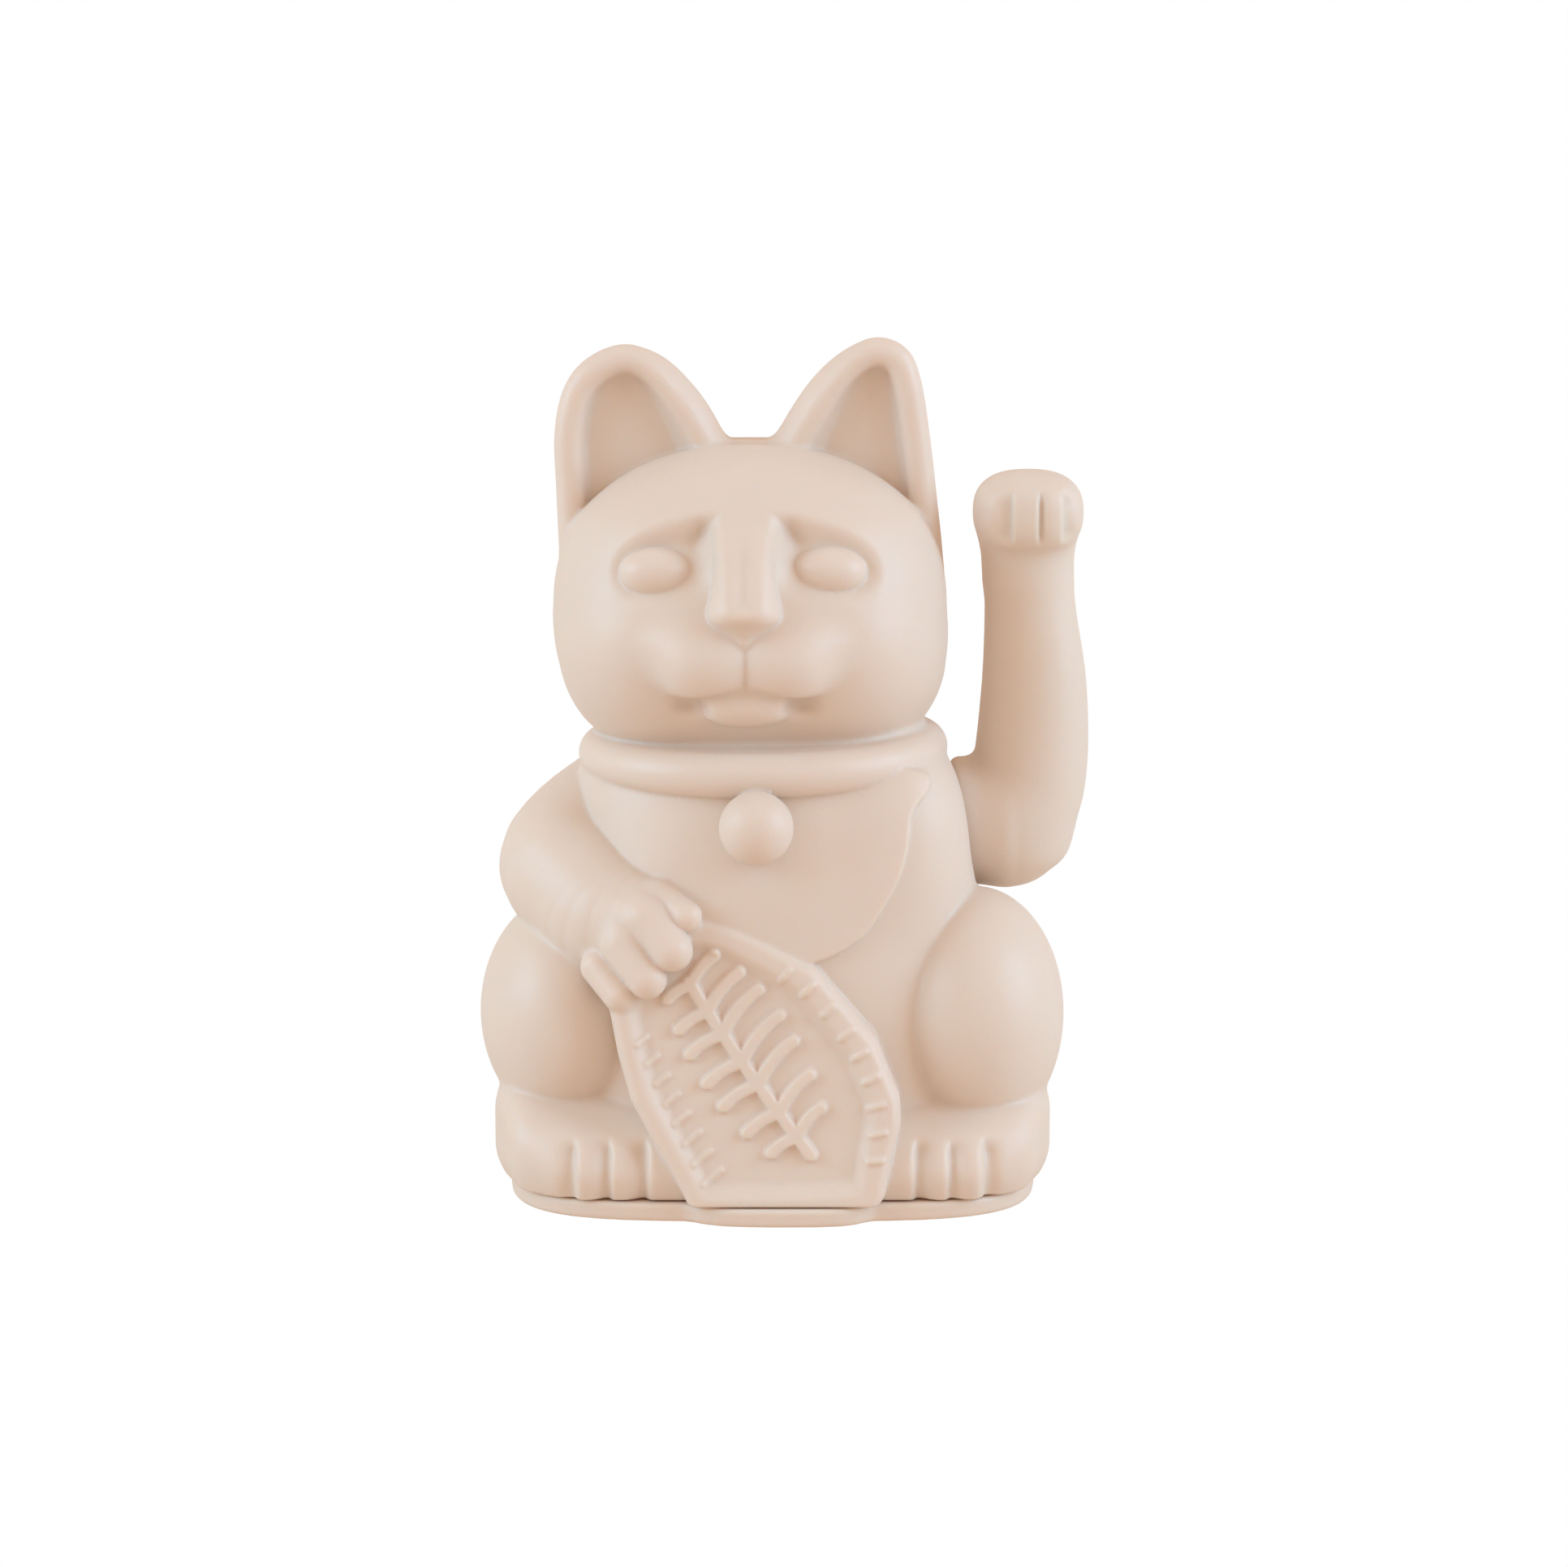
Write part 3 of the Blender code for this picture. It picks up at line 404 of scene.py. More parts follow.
def skin(name, field, *stops):
    """A closed mesh object from a field, in metres, on a grid with the given stops in x, y and z."""
    axes = [spaced(along) for along in stops]
    value = filled_grid(field, axes)
    verts, flat = net_points(value, axes)
    quads = net_quads(value < 0, flat)
    for _ in range(SLIDES):
        verts = slide_on(field, verts)
    mesh = bpy.data.meshes.new(name)
    mesh.from_pydata(verts * MM, [], quads)
    mesh.validate()
    mesh.shade_smooth()
    print(name, len(verts), "vertices", len(quads), "quads")
    return linked(name, mesh)


# %% [markdown]
# ## The cat's masses
# Torso, head, thighs, feet and the arm that holds the coin are drawn as plain masses first. The
# same masses, drawn in by the wall's thickness, are the hollow inside the shells.

# %% Torso, head, thighs, feet and holding arm
WALL = 2.3
GAP = 0.16
PARTING_Y = 4.0
SHELL_FOOT = 3.4
TORSO = (
    (-3, 0, 42, -30, 40, 2.9), (3, 0, 42, -30, 40, 2.9), (12, 0, 43, -30.5, 41, 2.9),
    (30, 0, 40, -31, 38.5, 2.7), (45, 0, 38, -31, 34, 2.5), (60, -0.3, 33.8, -30, 28.5, 2.3),
    (74, -1, 31.3, -26, 23.5, 2.2), (84, -1.5, 26, -20, 18, 2.2),
)
THIGHS = (((-35.4, -10, 31), (15.7, 21, 20.5)), ((35.3, -12.5, 31), (15.5, 20.5, 22)))
HOLDING_ARM = (
    (-28.0, 2, 64, 11.2), (-32.9, -4, 60.4, 11.7), (-35.7, -10, 56.6, 11.9), (-32, -16, 53.4, 11.5),
    (-27.5, -21.5, 50.2, 10.7), (-22.4, -25.6, 49.6, 8.8),
)
FOOT_PLAN = ((12, -8), (40.2, -8), (40.2, -17), (37.5, -26.2), (32, -30), (12, -30))
HEAD_RADII = (34.2, 29, 29.3)
foot_map = outline_map(FOOT_PLAN, (-10, -55), (65, 20), 0.5, 2.0)


def head(p):
    """The head: wide cheeks, a low crown, and a face that draws back towards the jaw."""
    x, y, z = p
    wide = np.interp(z, (72, 82, 92, 102, 118, 126, 131), (1.07, 1.06, 1.015, 1.0, 1.0, 0.96, 0.94))
    across = np.interp(z, (78, 90, 100), (3.2, 3.4, 3.9))
    deep = np.where(y < -3, np.interp(z, (70, 78, 86, 94, 101), (0.80, 0.86, 0.925, 0.98, 1.0)), 1.0)
    tall = np.where(z > 101, 0.962, 1.0)
    q = ((x + across) / wide, (y + 3) / deep, (z - 101) / tall)
    return ball(tuple(v.astype(np.float32) for v in q), (0, 0, 0), HEAD_RADII, 2.3)


def foot(p):
    """Both feet: a plan with rounded sides."""
    x, y, z = p
    reach = 8.2 - 2.0 * np.clip(1 - (z - 3) / 6, 0, 1) ** 2
    side = -read_map(foot_map, np.abs(x), y) - reach
    top = z - 20.6 + 0.55 * np.maximum(0, -23 - y)
    return keep(side, top, 6.0)


def torso(p):
    """The trunk with its right shoulder, which covers the raised arm's root."""
    return melt(stack(p, TORSO), ball(p, (20.0, -10.5, 59.0), (13.7, 16.0, 21.0), 2.2), 5.0)


def masses(p):
    """Everything that the hollow follows."""
    d = melt(torso(p), head(p), 1.5)
    for centre, radii in THIGHS:
        d = melt(d, ball(p, centre, radii), 1.0)
    d = melt(d, foot(p), 0.9)
    return melt(d, limb(p, smoothed(HOLDING_ARM, 3)), 1.2)
print("head", 2 * HEAD_RADII[0], "mm wide, wall", WALL, "mm, seam", GAP, "mm")
# %% [markdown]
# ## Ears, face, collar and bib
# The ears are thin plates with a round rim and a hollow front. The face is a wide nose bridge that
# grows out of the forehead, two closed lids in their sockets, a muzzle of two pads and a chin.

# %% Ears
EAR_LEFT = (
    (-36.0, 100), (-36.9, 108), (-37.5, 122), (-37.7, 131), (-36.0, 138.8), (-32.0, 143.8), (-25.6, 146.2),
    (-18.8, 144.0), (-12.9, 138.2), (-8.9, 131.8), (-6.8, 126), (-6.5, 100),
)
EAR_RIGHT = (
    (-1.5, 100), (-1.2, 126), (1.2, 131.8), (6.4, 139.8), (12.0, 145.0), (18.1, 147.4), (23.2, 145.4),
    (25.6, 140.0), (27.2, 130), (28.4, 120), (29.6, 108), (29.0, 100),
)
EAR_BACK_Y = 6.6
ear_left_map = outline_map(smoothed(EAR_LEFT, 6), (-48, 95), (4, 155))
ear_right_map = outline_map(smoothed(EAR_RIGHT, 6), (-12, 95), (40, 155))


def ear(p, drawn, middle_x, inward):
    """One ear. Its inner side, towards the other ear, has a wider flank than its outer side."""
    x, y, z = p
    e = read_map(drawn, x, z) - 0.2
    inner = ramp((x - middle_x) * inward, -3, 6)
    crest = 2.2 + 1.5 * inner
    rim = np.sqrt((e - crest) ** 2 + y**2) - 2.2
    front = -0.2 + 2.1 * ramp(e, 3.0 + 1.2 * inner, 5.6 + 3.4 * inner)
    return melt(rim, plate(e, np.maximum(front - y, y - EAR_BACK_Y), 1.8), 2.2)


def add_ears(d, p):
    d = melt(d, ear(p, ear_left_map, -22, 1), 0.8)
    d = melt(d, ear(p, ear_right_map, 14, -1), 0.8)
    x, y, z = p
    bridge = np.maximum(np.maximum(np.abs(x + 4) - 6, z - 129.7), np.maximum(1 - y, y - EAR_BACK_Y))
    return melt(d, bridge, 1.0)
print("ear maps:", ear_left_map[0].shape, ear_right_map[0].shape)
# %% Face
FACE_X = -4.4
NOSE = (
    (96.8, -4.7, 1.2, -33.4, -24, 2.0), (98.6, -4.7, 1.9, -35.0, -24, 2.0),
    (100.2, -4.7, 3.9, -35.5, -24, 2.1), (101.6, -4.7, 5.4, -36.5, -24, 2.2),
    (103.0, -4.7, 6.1, -38.1, -24, 2.4), (104.4, -4.7, 6.1, -38.6, -24, 2.5),
    (106.5, -4.7, 5.6, -37.8, -24, 2.6), (109.0, -4.7, 5.1, -36.2, -24, 2.8),
    (112.0, -4.7, 4.9, -34.0, -22, 2.9), (115.0, -4.7, 5.0, -31.4, -20, 2.9),
    (118.5, -4.6, 5.0, -27.7, -18, 2.8), (122.0, -4.5, 4.8, -23.6, -16, 2.6),
)
SOCKET = (
    (4.6, 119.6), (9, 119.0), (13.5, 118.0), (17.6, 116.2), (20.8, 113.6), (22.4, 110.4), (22.0, 107.5),
    (20, 104), (13, 102.5), (7, 103.5), (4.6, 108),
)
EYES = ((-19.7, 110.0, 6.1), (9.6, 110.2, 6.3))
MOUTH_CORNERS = (-13.9, 4.9)
socket_map = outline_map(smoothed(SOCKET, 4), (-4, 94), (32, 130))


def lids(d, p):
    """The eye sockets, deepest at their inner corners, and the closed lids in them."""
    x, y, z = p
    aside = np.abs(x - FACE_X)
    deep = 3.5 * ramp(read_map(socket_map, aside, z), -1.4, 5.0) * ramp(z, 103.5, 114.0)
    deep = deep + 1.3 * np.exp(-(((aside - 7.4) / 2.4) ** 2) - ((z - 115.6) / 3.4) ** 2)
    d = dent(d, deep * (y < -8))
    for at_x, at_z, half in EYES:
        d = melt(d, ball(p, (at_x, -25.4, at_z), (half, 4.9, 4.1), 2.1), 0.3)
    return d


def muzzle(d, p):
    """The chin, the two pads above it with the slit between them, and hollow mouth corners."""
    x, y, z = p
    d = melt(d, ball(p, (-4.4, -25.6, 88.6), (9.0, 7.6, 4.9), 2.2), 0.5)
    pads = melted([ball(p, (-4.5 + 6.0 * side, -27.6, 95.0), (9.6, 9.0, 7.4), 2.1) for side in (-1, 1)], 0.2)
    arch = z - (90.8 - 0.026 * (x + 4.5) ** 2)
    pads = keep(pads, -arch, 1.6)
    d = melt(d, pads, np.interp(z, (88.5, 94.0, 99.0), (0.8, 3.4, 5.5)).astype(np.float32))
    for at in MOUTH_CORNERS:
        d = carve(d, ball(p, (at, -29.4, 87.4), (2.4, 3.4, 1.5)), 2.6)
    slit = limb(p, ((-4.5, -38.2, 99.0, 0.5), (-4.5, -37.0, 95.0, 0.7), (-4.5, -35.2, 90.6, 0.6)))
    return carve(d, slit, 0.8)


def add_face(d, p):
    x, y, z = p
    for side in (-1, 1):
        d = melt(d, ball(p, (FACE_X + side * 16.0, -15.0, 95.5), (12.5, 14.5, 12.0)), 7.0)
    d = muzzle(lids(d, p), p)
    valley = 0.9 * np.exp(-(((x + 4.7) / 1.5) ** 2)) * ramp(z, 103.5, 107.0) * (1 - ramp(z, 112.0, 117.0))
    return melt(d, stack(p, NOSE, 1.6) + valley, 0.6)
print("eyes at", EYES)
# %% Collar, bell and bib
BIB = (
    (-40, 76), (22.4, 76), (23.6, 67.8), (22.4, 59.7), (19.1, 53.1), (15, 47.7), (8.1, 44.1), (0, 42.6),
    (-9, 43.4), (-18, 47), (-24, 54), (-28, 62), (-40, 70),
)
COLLAR_HALF_X, COLLAR_HALF_Y, COLLAR_THICKNESS = 28.4, 24.3, 3.8
BELL = ((-2.7, -33.6, 67.5), (6.3, 6.3, 6.3))
bib_map = outline_map(smoothed(BIB, 5), (-45, 35), (32, 82))


def add_collar(d, p):
    x, y, z = p
    level = z - (76.3 + 0.018 * (x + 4) + 0.03 * (y + 4))
    qx, qy = (x + 1.65) / COLLAR_HALF_X, (y + 4) / COLLAR_HALF_Y
    reach = np.sqrt(qx * qx + qy * qy) + 1e-6
    ring = (reach - 1) / np.sqrt((qx / COLLAR_HALF_X) ** 2 + (qy / COLLAR_HALF_Y) ** 2) * reach
    ring = np.maximum(ring, 0)
    band = np.sqrt(ring * ring + level * level) - COLLAR_THICKNESS
    return melt(d, band, 0.5)


def add_bib(d, p):
    x, y, z = p
    flat = -read_map(bib_map, x, z)
    return melt(d, keep(keep(torso(p) - 1.5, flat, 0.6), y + 4, 1.0), 0.3)
def add_bell(d, p):
    return melt(d, ball(p, *BELL), 0.5)


print("bell", 2 * BELL[1][0], "mm across, collar", 2 * COLLAR_THICKNESS, "mm thick")
# %% [markdown]
# ## The coin
# The tall coin leans on the belly. Its rim is raised, short notches run along the border, and a
# sprig of leaves stands up from the field. All of it is one height map on the leaning face.

# %% Coin outline, border notches and sprig
COIN = (
    (-18, 51.0), (-11.6, 51.8), (-6.4, 50.6), (0.2, 47.4), (7.3, 43.4), (15.0, 34.3), (17.7, 31.2),
    (21.8, 21.2), (21.9, 17.0), (20.4, 11.4), (19.2, 4.8), (17.2, 2.0), (-13.6, 2.0), (-16.6, 7.8),
    (-21.0, 15.4), (-24.0, 20.8), (-26.2, 28.4), (-27.8, 36.6), (-24, 46),
)
RIGHT_NOTCHES = (
    (0.5, 40.2, 50), (4.2, 37.8, 48), (7.6, 34.6, 44), (10.6, 30.8, 40), (12.6, 27.4, 34),
    (14.4, 23.6, 28), (15.2, 19.4, 20), (15.4, 15.2, 12), (15.0, 11.0, 4),
)
STEM = ((-14.2, 41.0), (-9.6, 34.0), (-4.4, 26.6), (1.2, 19.0), (6.6, 12.0))
LEAVES = (
    (0.05, 6.4, 4.6), (0.19, 8.6, 5.8), (0.33, 9.8, 6.6), (0.47, 10.2, 7.0), (0.61, 9.6, 7.0),
    (0.75, 8.4, 6.4), (0.89, 6.4, 5.2),
)
COIN_LEAN = 9.5 / 52.3
coin_map = outline_map(COIN, (-34, -4), (28, 58), 0.2, 2.6)


def left_notches():
    """Short ridges that grow longer down the left border."""
    lines = []
    for share in np.linspace(0, 1, 8):
        x, z = -22.8 + 11.2 * share, 30.6 - 23.4 * share
        reach = 1.4 + 1.6 * share
        lines.append(((x, z), (x + reach, z + 0.75 * reach)))
    return lines


def right_notches():
    """Short ridges along the right border."""
    lines = []
    for x, z, turn in RIGHT_NOTCHES:
        turn = math.radians(turn)
        x, z = x + 1.2 * math.cos(turn), z + 1.2 * math.sin(turn)
        lines.append(((x, z), (x + 2.6 * math.cos(turn), z + 2.6 * math.sin(turn))))
    return lines


def fern():
    """A stem down the coin's long axis, with a close row of leaves on each side."""
    stem = smoothed(STEM, 8)
    lines = [stem]
    for share, right, left in LEAVES:
        at = stem[int(share * (len(stem) - 1))]
        for reach, turn, bend in ((right, 66, -5.0), (left, 196, 5.0)):
            leaf = [at]
            for step in range(7):
                angle = math.radians(turn + bend * step)
                leaf.append(leaf[-1] + reach / 7 * np.array((math.cos(angle), math.sin(angle))))
            lines.append(leaf)
    return lines


leaf_strokes = stroke_map(fern(), (-34, -4), (28, 58))
notch_strokes = stroke_map(left_notches() + right_notches(), (-34, -4), (28, 58))


def add_coin(d, p):
    x, y, z = p
    e = read_map(coin_map, x, z)
    width = 3.0 + 1.2 * ramp(x + 0.6 * z, 6, 26)
    rim = 1.4 * (1 - ramp(e, width - 0.6, width + 2.6)) - 0.7 * (1 - ramp(e, 0.0, 2.6)) ** 2
    leaf = 1.15 * (1 - ramp(read_map(leaf_strokes, x, z), 0.75, 1.45))
    notch = 0.5 * (1 - ramp(read_map(notch_strokes, x, z), 0.2, 0.85))
    raised = rim + np.maximum(leaf, notch)
    front = (-40.5 + COIN_LEAN * z - raised - y) / math.sqrt(1 + COIN_LEAN**2)
    back = y - (-41.5 + COIN_LEAN * z + 12.0)
    return melt(d, plate(e, np.maximum(front, back), 1.6), 0.4)


print("coin map:", coin_map[0].shape, "leaves on each side:", len(LEAVES))


# %% [markdown]
# ## Paws
# The holding paw's four fingers lie over the coin's top corner. The feet show three grooves
# between the toes.

# %% Fingers and toes
HAND = ((-23.0, -28.0, 49.8), (7.6, 6.6, 7.4))
FINGERS = (
    ((-19.0, -29.6, 55.2, 2.6), (-14.6, -33.2, 52.2, 2.7)),
    ((-21.0, -32.2, 51.6, 3.9), (-17.0, -35.2, 46.7, 3.6)),
    ((-25.2, -32.0, 46.8, 3.9), (-21.2, -35.2, 41.8, 3.4)),
    ((-29.4, -30.4, 42.9, 3.3), (-26.0, -34.0, 38.7, 2.8)),
)
TOE_GROOVES = (-34.0, -28.1, -21.8, 24.9, 30.6, 36.5)
TAIL = smoothed(((22, 35, 12, 6), (8, 38.5, 15, 6), (-8, 38, 20, 5.5), (-16, 34.5, 27, 5)), 3)


def add_fingers(d, p):
    fingers = melted([limb(p, chain) for chain in FINGERS], 0.35)
    return melt(d, melt(ball(p, *HAND), fingers, 2.5), 0.9)


def dented(across, soft_side, width=0.7, slope=2.0):
    """The profile of a crease: steep on one side, soft on the other."""
    reach = np.where(across * soft_side > 0, slope, width)
    return np.exp(-((across / reach) ** 2))


def add_toes(d, p):
    x, y, z = p
    depth = 0.0
    for at in TOE_GROOVES:
        depth = depth + dented(x - at, -1 if at < 0 else 1)
    return dent(d, 1.35 * depth * (1 - ramp(z, 11.0, 14.5)) * ramp(-y, 27, 32))
def add_tail(d, p):
    return melt(d, limb(p, TAIL), 1.5)


print(len(FINGERS), "fingers,", len(TOE_GROOVES), "toe grooves")

# %% The whole outside, and the shells
PIVOT_Y, PIVOT_Z = 4.0, 62.0
POSTS = ((-41.3, -18.0), (41.3, -18.0), (-35.6, 19.5), (35.6, 19.5))
ADDED = (
    ((-60, -60, 104), (40, 12, 160), add_ears),
    ((-45, -50, 74), (40, 4, 135), add_face),
    ((-60, -60, 64), (60, 60, 86), add_collar),
    ((-60, -60, 36), (60, 0, 82), add_bib),
    ((-20, -50, 55), (14, -10, 80), add_bell),
    ((-40, -60, -5), (35, -15, 60), add_coin),
    ((-45, -50, 25), (0, -15, 65), add_fingers),
    ((-55, -50, -5), (55, -20, 22), add_toes),
    ((-40, 20, 0), (40, 60, 45), add_tail),
)


def outside(p, body):
    """The cat's outer surface, all but the raised arm."""
    d = body.copy()
    for low, high, change in ADDED:
        d = local(d, p, low, high, change)
    return d


def shell(p):
    """Both shells before they are parted: a wall with the arm's pocket, its hole and the screw posts."""
    x, y, z = p
    body = masses(p)
    from_pivot = np.hypot(y - PIVOT_Y, z - PIVOT_Z)
    d = outside(p, body)
    hollow = keep(keep(body + WALL, d + 1.4, 0.6), -np.maximum(from_pivot - 16.1, 27.7 - x), 1.0)
    d = carve(d, np.maximum(from_pivot - 13.8, 30.0 - x), 0.5)
    d = carve(d, hollow, 0.4)
    d = carve(d, np.maximum(from_pivot - 6.0, np.abs(x - 30) - 6), 0.3)
    for at_x, at_y in POSTS:
        far = np.hypot(x - at_x, y - at_y)
        d = np.minimum(d, np.maximum(far - 3.4, z - 16.0))
        d = np.maximum(d, -np.maximum(far - 1.55, z - 12.0))
    return keep(d, SHELL_FOOT - z, 0.3)


def front_of(whole):
    """The half of a moulding in front of the parting plane."""
    return lambda p: keep(whole(p), p[1] - (PARTING_Y - GAP / 2), 0.3)


def rear_of(whole):
    """The half of a moulding behind the parting plane."""
    return lambda p: keep(whole(p), (PARTING_Y + GAP / 2) - p[1], 0.3)


front_skin = skin(
    "front_shell_skin", front_of(shell), ((-54, 0.7), (-30, 0.4), (25, 0.7), (54, 0)),
    ((-45, 0.4), (-22, 0.6), (6, 0)), ((1, 0.45), (56, 0.7), (82, 0.45), (122, 0.7), (150, 0)),
)
rear_skin = skin(
    "rear_shell_skin", rear_of(shell), ((-54, 0.68), (54, 0)), ((2, 0.45), (8, 0.7), (48, 0)),
    ((1, 0.68), (150, 0)),
)

# %% [markdown]
# ## The raised arm
# The arm that beckons is a round elbow, a long forearm and a paw bent forward, with narrow grooves
# between its fingers.

# %% Arm
FOREARM = (
    (55, 43, 8.6, -4.6, 12.6, 2.1), (61, 43.4, 9.8, -6, 14, 2.1), (67, 44.8, 10.2, -6.5, 14.5, 2.1),
    (76, 45.8, 9.9, -6, 14, 2.1), (88, 46, 9.1, -5.5, 12.5, 2.1), (100, 45.2, 8.0, -5, 10.5, 2.1),
    (108, 44.7, 7.8, -5, 10, 2.1), (113, 44.6, 8.2, -5, 9.6, 2.1),
)
ARM_WALL = 1.7


def arm_masses(p):
    d = melt(ball(p, (41.8, 4, 62.6), (11.2, 11.2, 12.4)), stack(p, FOREARM, 3.0), 2.0)
    d = melt(d, ball(p, (44.5, -0.4, 117.4), (9.6, 9.6, 7.3), 2.5), 2.5)
    return melt(d, limb(p, ((44.6, 2.5, 106, 7.2), (44.6, 2.0, 114, 7.6))), 2.0)


def paw_creases(p):
    """How deep the creases between the raised paw's fingers are."""
    x, y, z = p
    depth = dented(x - 41.2, -1, 0.35, 2.4) + dented(x - 46.2, 1, 0.4, 0.8) + dented(x - 50.4, 1, 0.35, 2.0)
    return 1.1 * depth * ramp(z, 112.0, 115.0) * (1 - ramp(z, 119.0, 122.5)) * ramp(-y, 3, 6)


def arm(p):
    x, y, z = p
    from_pivot = np.hypot(y - PIVOT_Y, z - PIVOT_Z)
    body = arm_masses(p)
    shoulder = keep(from_pivot - 11.3, np.maximum(31.3 - x, x - 42), 2.0)
    d = melt(body.copy(), shoulder, 1.5)
    d = dent(d, paw_creases(p))
    hollow = keep(keep(body + ARM_WALL, d + 1.0, 0.4), -np.maximum(from_pivot - 5.4, x - 41.5), 0.5)
    d = carve(d, hollow, 0.4)
    square = np.maximum(np.maximum(np.abs(y - PIVOT_Y), np.abs(z - PIVOT_Z)) - 2.8, x - 40.2)
    return carve(d, square, 0.1)


ARM_Z = ((46, 0.55), (104, 0.4), (128, 0))
arm_front_skin = skin("arm_front_skin", front_of(arm), ((29, 0.5), (60, 0)), ((-14, 0.5), (6, 0)), ARM_Z)
arm_rear_skin = skin("arm_rear_skin", rear_of(arm), ((29, 0.6), (60, 0)), ((2, 0.6), (20, 0)), ARM_Z)

# %% [markdown]
# ## The base plate and the battery door
# The plate is one moulding: a round-edged plate with a tongue under the coin, a lip that centres the
# shells, a box for the cell, bosses for frame and board, and counterbored screw holes. The door that
# closes the box has three grip grooves.

# %% Base plate and door
PLATE_TOP = 3.12
LIP_SECTION = (42.0, 35.0, 5.0, 2.9)
CELL_BAY = ((-28.4, 12.9, -1.0), (26.8, 28.3, 18.0))
TONGUE = (
    (-16.4, -30), (-15.6, -34.6), (-14.2, -37.4), (-12.2, -39.6), (-9.0, -41.0), (-5.0, -41.7), (0, -41.9),
    (8, -41.8), (12.0, -41.2), (14.6, -40.0), (16.4, -38.0), (17.2, -35.0), (17.4, -30),
)
FRAME_BOSSES = ((10.0, -10.5), (22.0, -10.5))
BOARD_BOSSES = ((-27.0, -16.5), (0.5, 5.0))


def block(p, low, high):
    """A block between two corners."""
    sides = [np.maximum(a - values, values - b) for values, a, b in zip(p, low, high)]
    return np.maximum(np.maximum(sides[0], sides[1]), sides[2])


def rod(p, place, radius, low, high):
    """An upright round bar."""
    far = np.hypot(p[0] - place[0], p[1] - place[1]) - radius
    return np.maximum(far, np.maximum(low - p[2], p[2] - high))


tongue_map = outline_map(TONGUE, (-30, -50), (30, -20), 0.25, 2.0)


def base(p):
    """The base plate."""
    x, y, z = p
    power = np.where(y < 0.6, 4.0, 2.5)
    tongue = -read_map(tongue_map, x, np.minimum(y, -31.0)) + np.maximum(y + 31, 0)
    plan = melt(oval(x, y, 46.0, 38.6, 0.6, power), tongue, 2.0)
    d = keep(plan, np.maximum(z - PLATE_TOP, -z), 0.8)
    half_x, half_y, middle_y, power = LIP_SECTION
    lip = [oval(x, y, half_x - inset, half_y - inset, middle_y, power) for inset in (3.5, 4.9)]
    lip = np.maximum(np.maximum(lip[0], -lip[1]), np.maximum(2 - z, z - 6))
    for post in POSTS:
        lip = np.maximum(lip, -rod(p, post, 4.1, 0, 9))
    d = melt(d, lip, 0.4)
    (left, front, _), (right, back, roof) = CELL_BAY
    d = melt(d, block(p, (left - 1.4, front - 1.4, 2), (right + 1.4, back + 1.4, roof + 1.2)), 0.5)
    for places, radius, top in ((FRAME_BOSSES, 3.4, 6.0), (BOARD_BOSSES, 2.6, 8.7)):
        for place in places:
            d = melt(d, rod(p, place, radius, 2, top), 0.5)
            d = carve(d, rod(p, place, 1.35, 1, 12), 0.2)
    d = carve(d, block(p, *CELL_BAY), 0.3)
    d = carve(d, block(p, (-31.0, 11.1, -1), (31.4, 30.1, 2.1)), 0.2)
    d = carve(d, block(p, (-34.0, 0.4, -1), (-26.0, 3.6, 5)), 0.3)
    for post in POSTS:
        d = carve(d, np.minimum(rod(p, post, 3.1, -1, 1.8), rod(p, post, 1.8, 0, 5)), 0.2)
    return d


def door(p):
    """The battery door."""
    d = keep(block(p, (-30.7, 11.4, -5), (30.5, 29.8, 5)), np.maximum(-p[2], p[2] - 1.8), 0.5)
    for step in range(3):
        left = -27.7 + 2 * step
        d = carve(d, block(p, (left, 16.6, -1), (left + 0.8, 24.6, 0.5)), 0.2)
    return d


base_skin = skin(
    "base_plate_skin", base, ((-47, 0.6), (47, 0)), ((-43, 0.6), (41, 0)), ((-1, 0.4), (7, 0.9), (20.5, 0))
)
door_skin = skin(
    "battery_door_skin", door, ((-32, 0.45), (32, 0)), ((10, 0.45), (31, 0)), ((-1, 0.3), (3, 0))
)

# %% [markdown]
# ## Screws, winding and spring with Geometry Nodes
# A thread, a wound coil and a spring are all one wire that follows a spiral, and a screw is repeated
# wherever two mouldings meet. Each is a node group with its sizes as inputs, so that one group makes
# all three kinds of screw. The result becomes a plain mesh.

# %% A node group with named inputs


def shape_group(name, inputs):
    """An empty Geometry Nodes group with a geometry input, named sizes and a finish."""
    tree = bpy.data.node_groups.new(name, "GeometryNodeTree")
    tree.interface.new_socket("Geometry", in_out="INPUT", socket_type="NodeSocketGeometry")
    for label, value in inputs:
        kind = "NodeSocketInt" if isinstance(value, int) else "NodeSocketFloat"
        tree.interface.new_socket(label, in_out="INPUT", socket_type=kind).default_value = value
    tree.interface.new_socket("Finish", in_out="INPUT", socket_type="NodeSocketMaterial")
    tree.interface.new_socket("Geometry", in_out="OUTPUT", socket_type="NodeSocketGeometry")
    return tree, tree.nodes.new("NodeGroupInput"), tree.nodes.new("NodeGroupOutput")


def put(tree, kind, *wires, **settings):
    """A node with settings, whose inputs are wired or set from (input, source or value) pairs."""
    node = tree.nodes.new(kind)
    for key, value in settings.items():
        setattr(node, key, value)
    for entry, source in wires:
        socket = node.inputs[entry]
        if isinstance(source, bpy.types.NodeSocket):
            tree.links.new(source, socket)
        else:
            socket.default_value = source
    return node


def maths(tree, operation, a, b):
    """A sum, product or other operation on two values."""
    return put(tree, "ShaderNodeMath", (0, a), (1, b), operation=operation).outputs[0]


def times(tree, a, b):
    return maths(tree, "MULTIPLY", a, b)


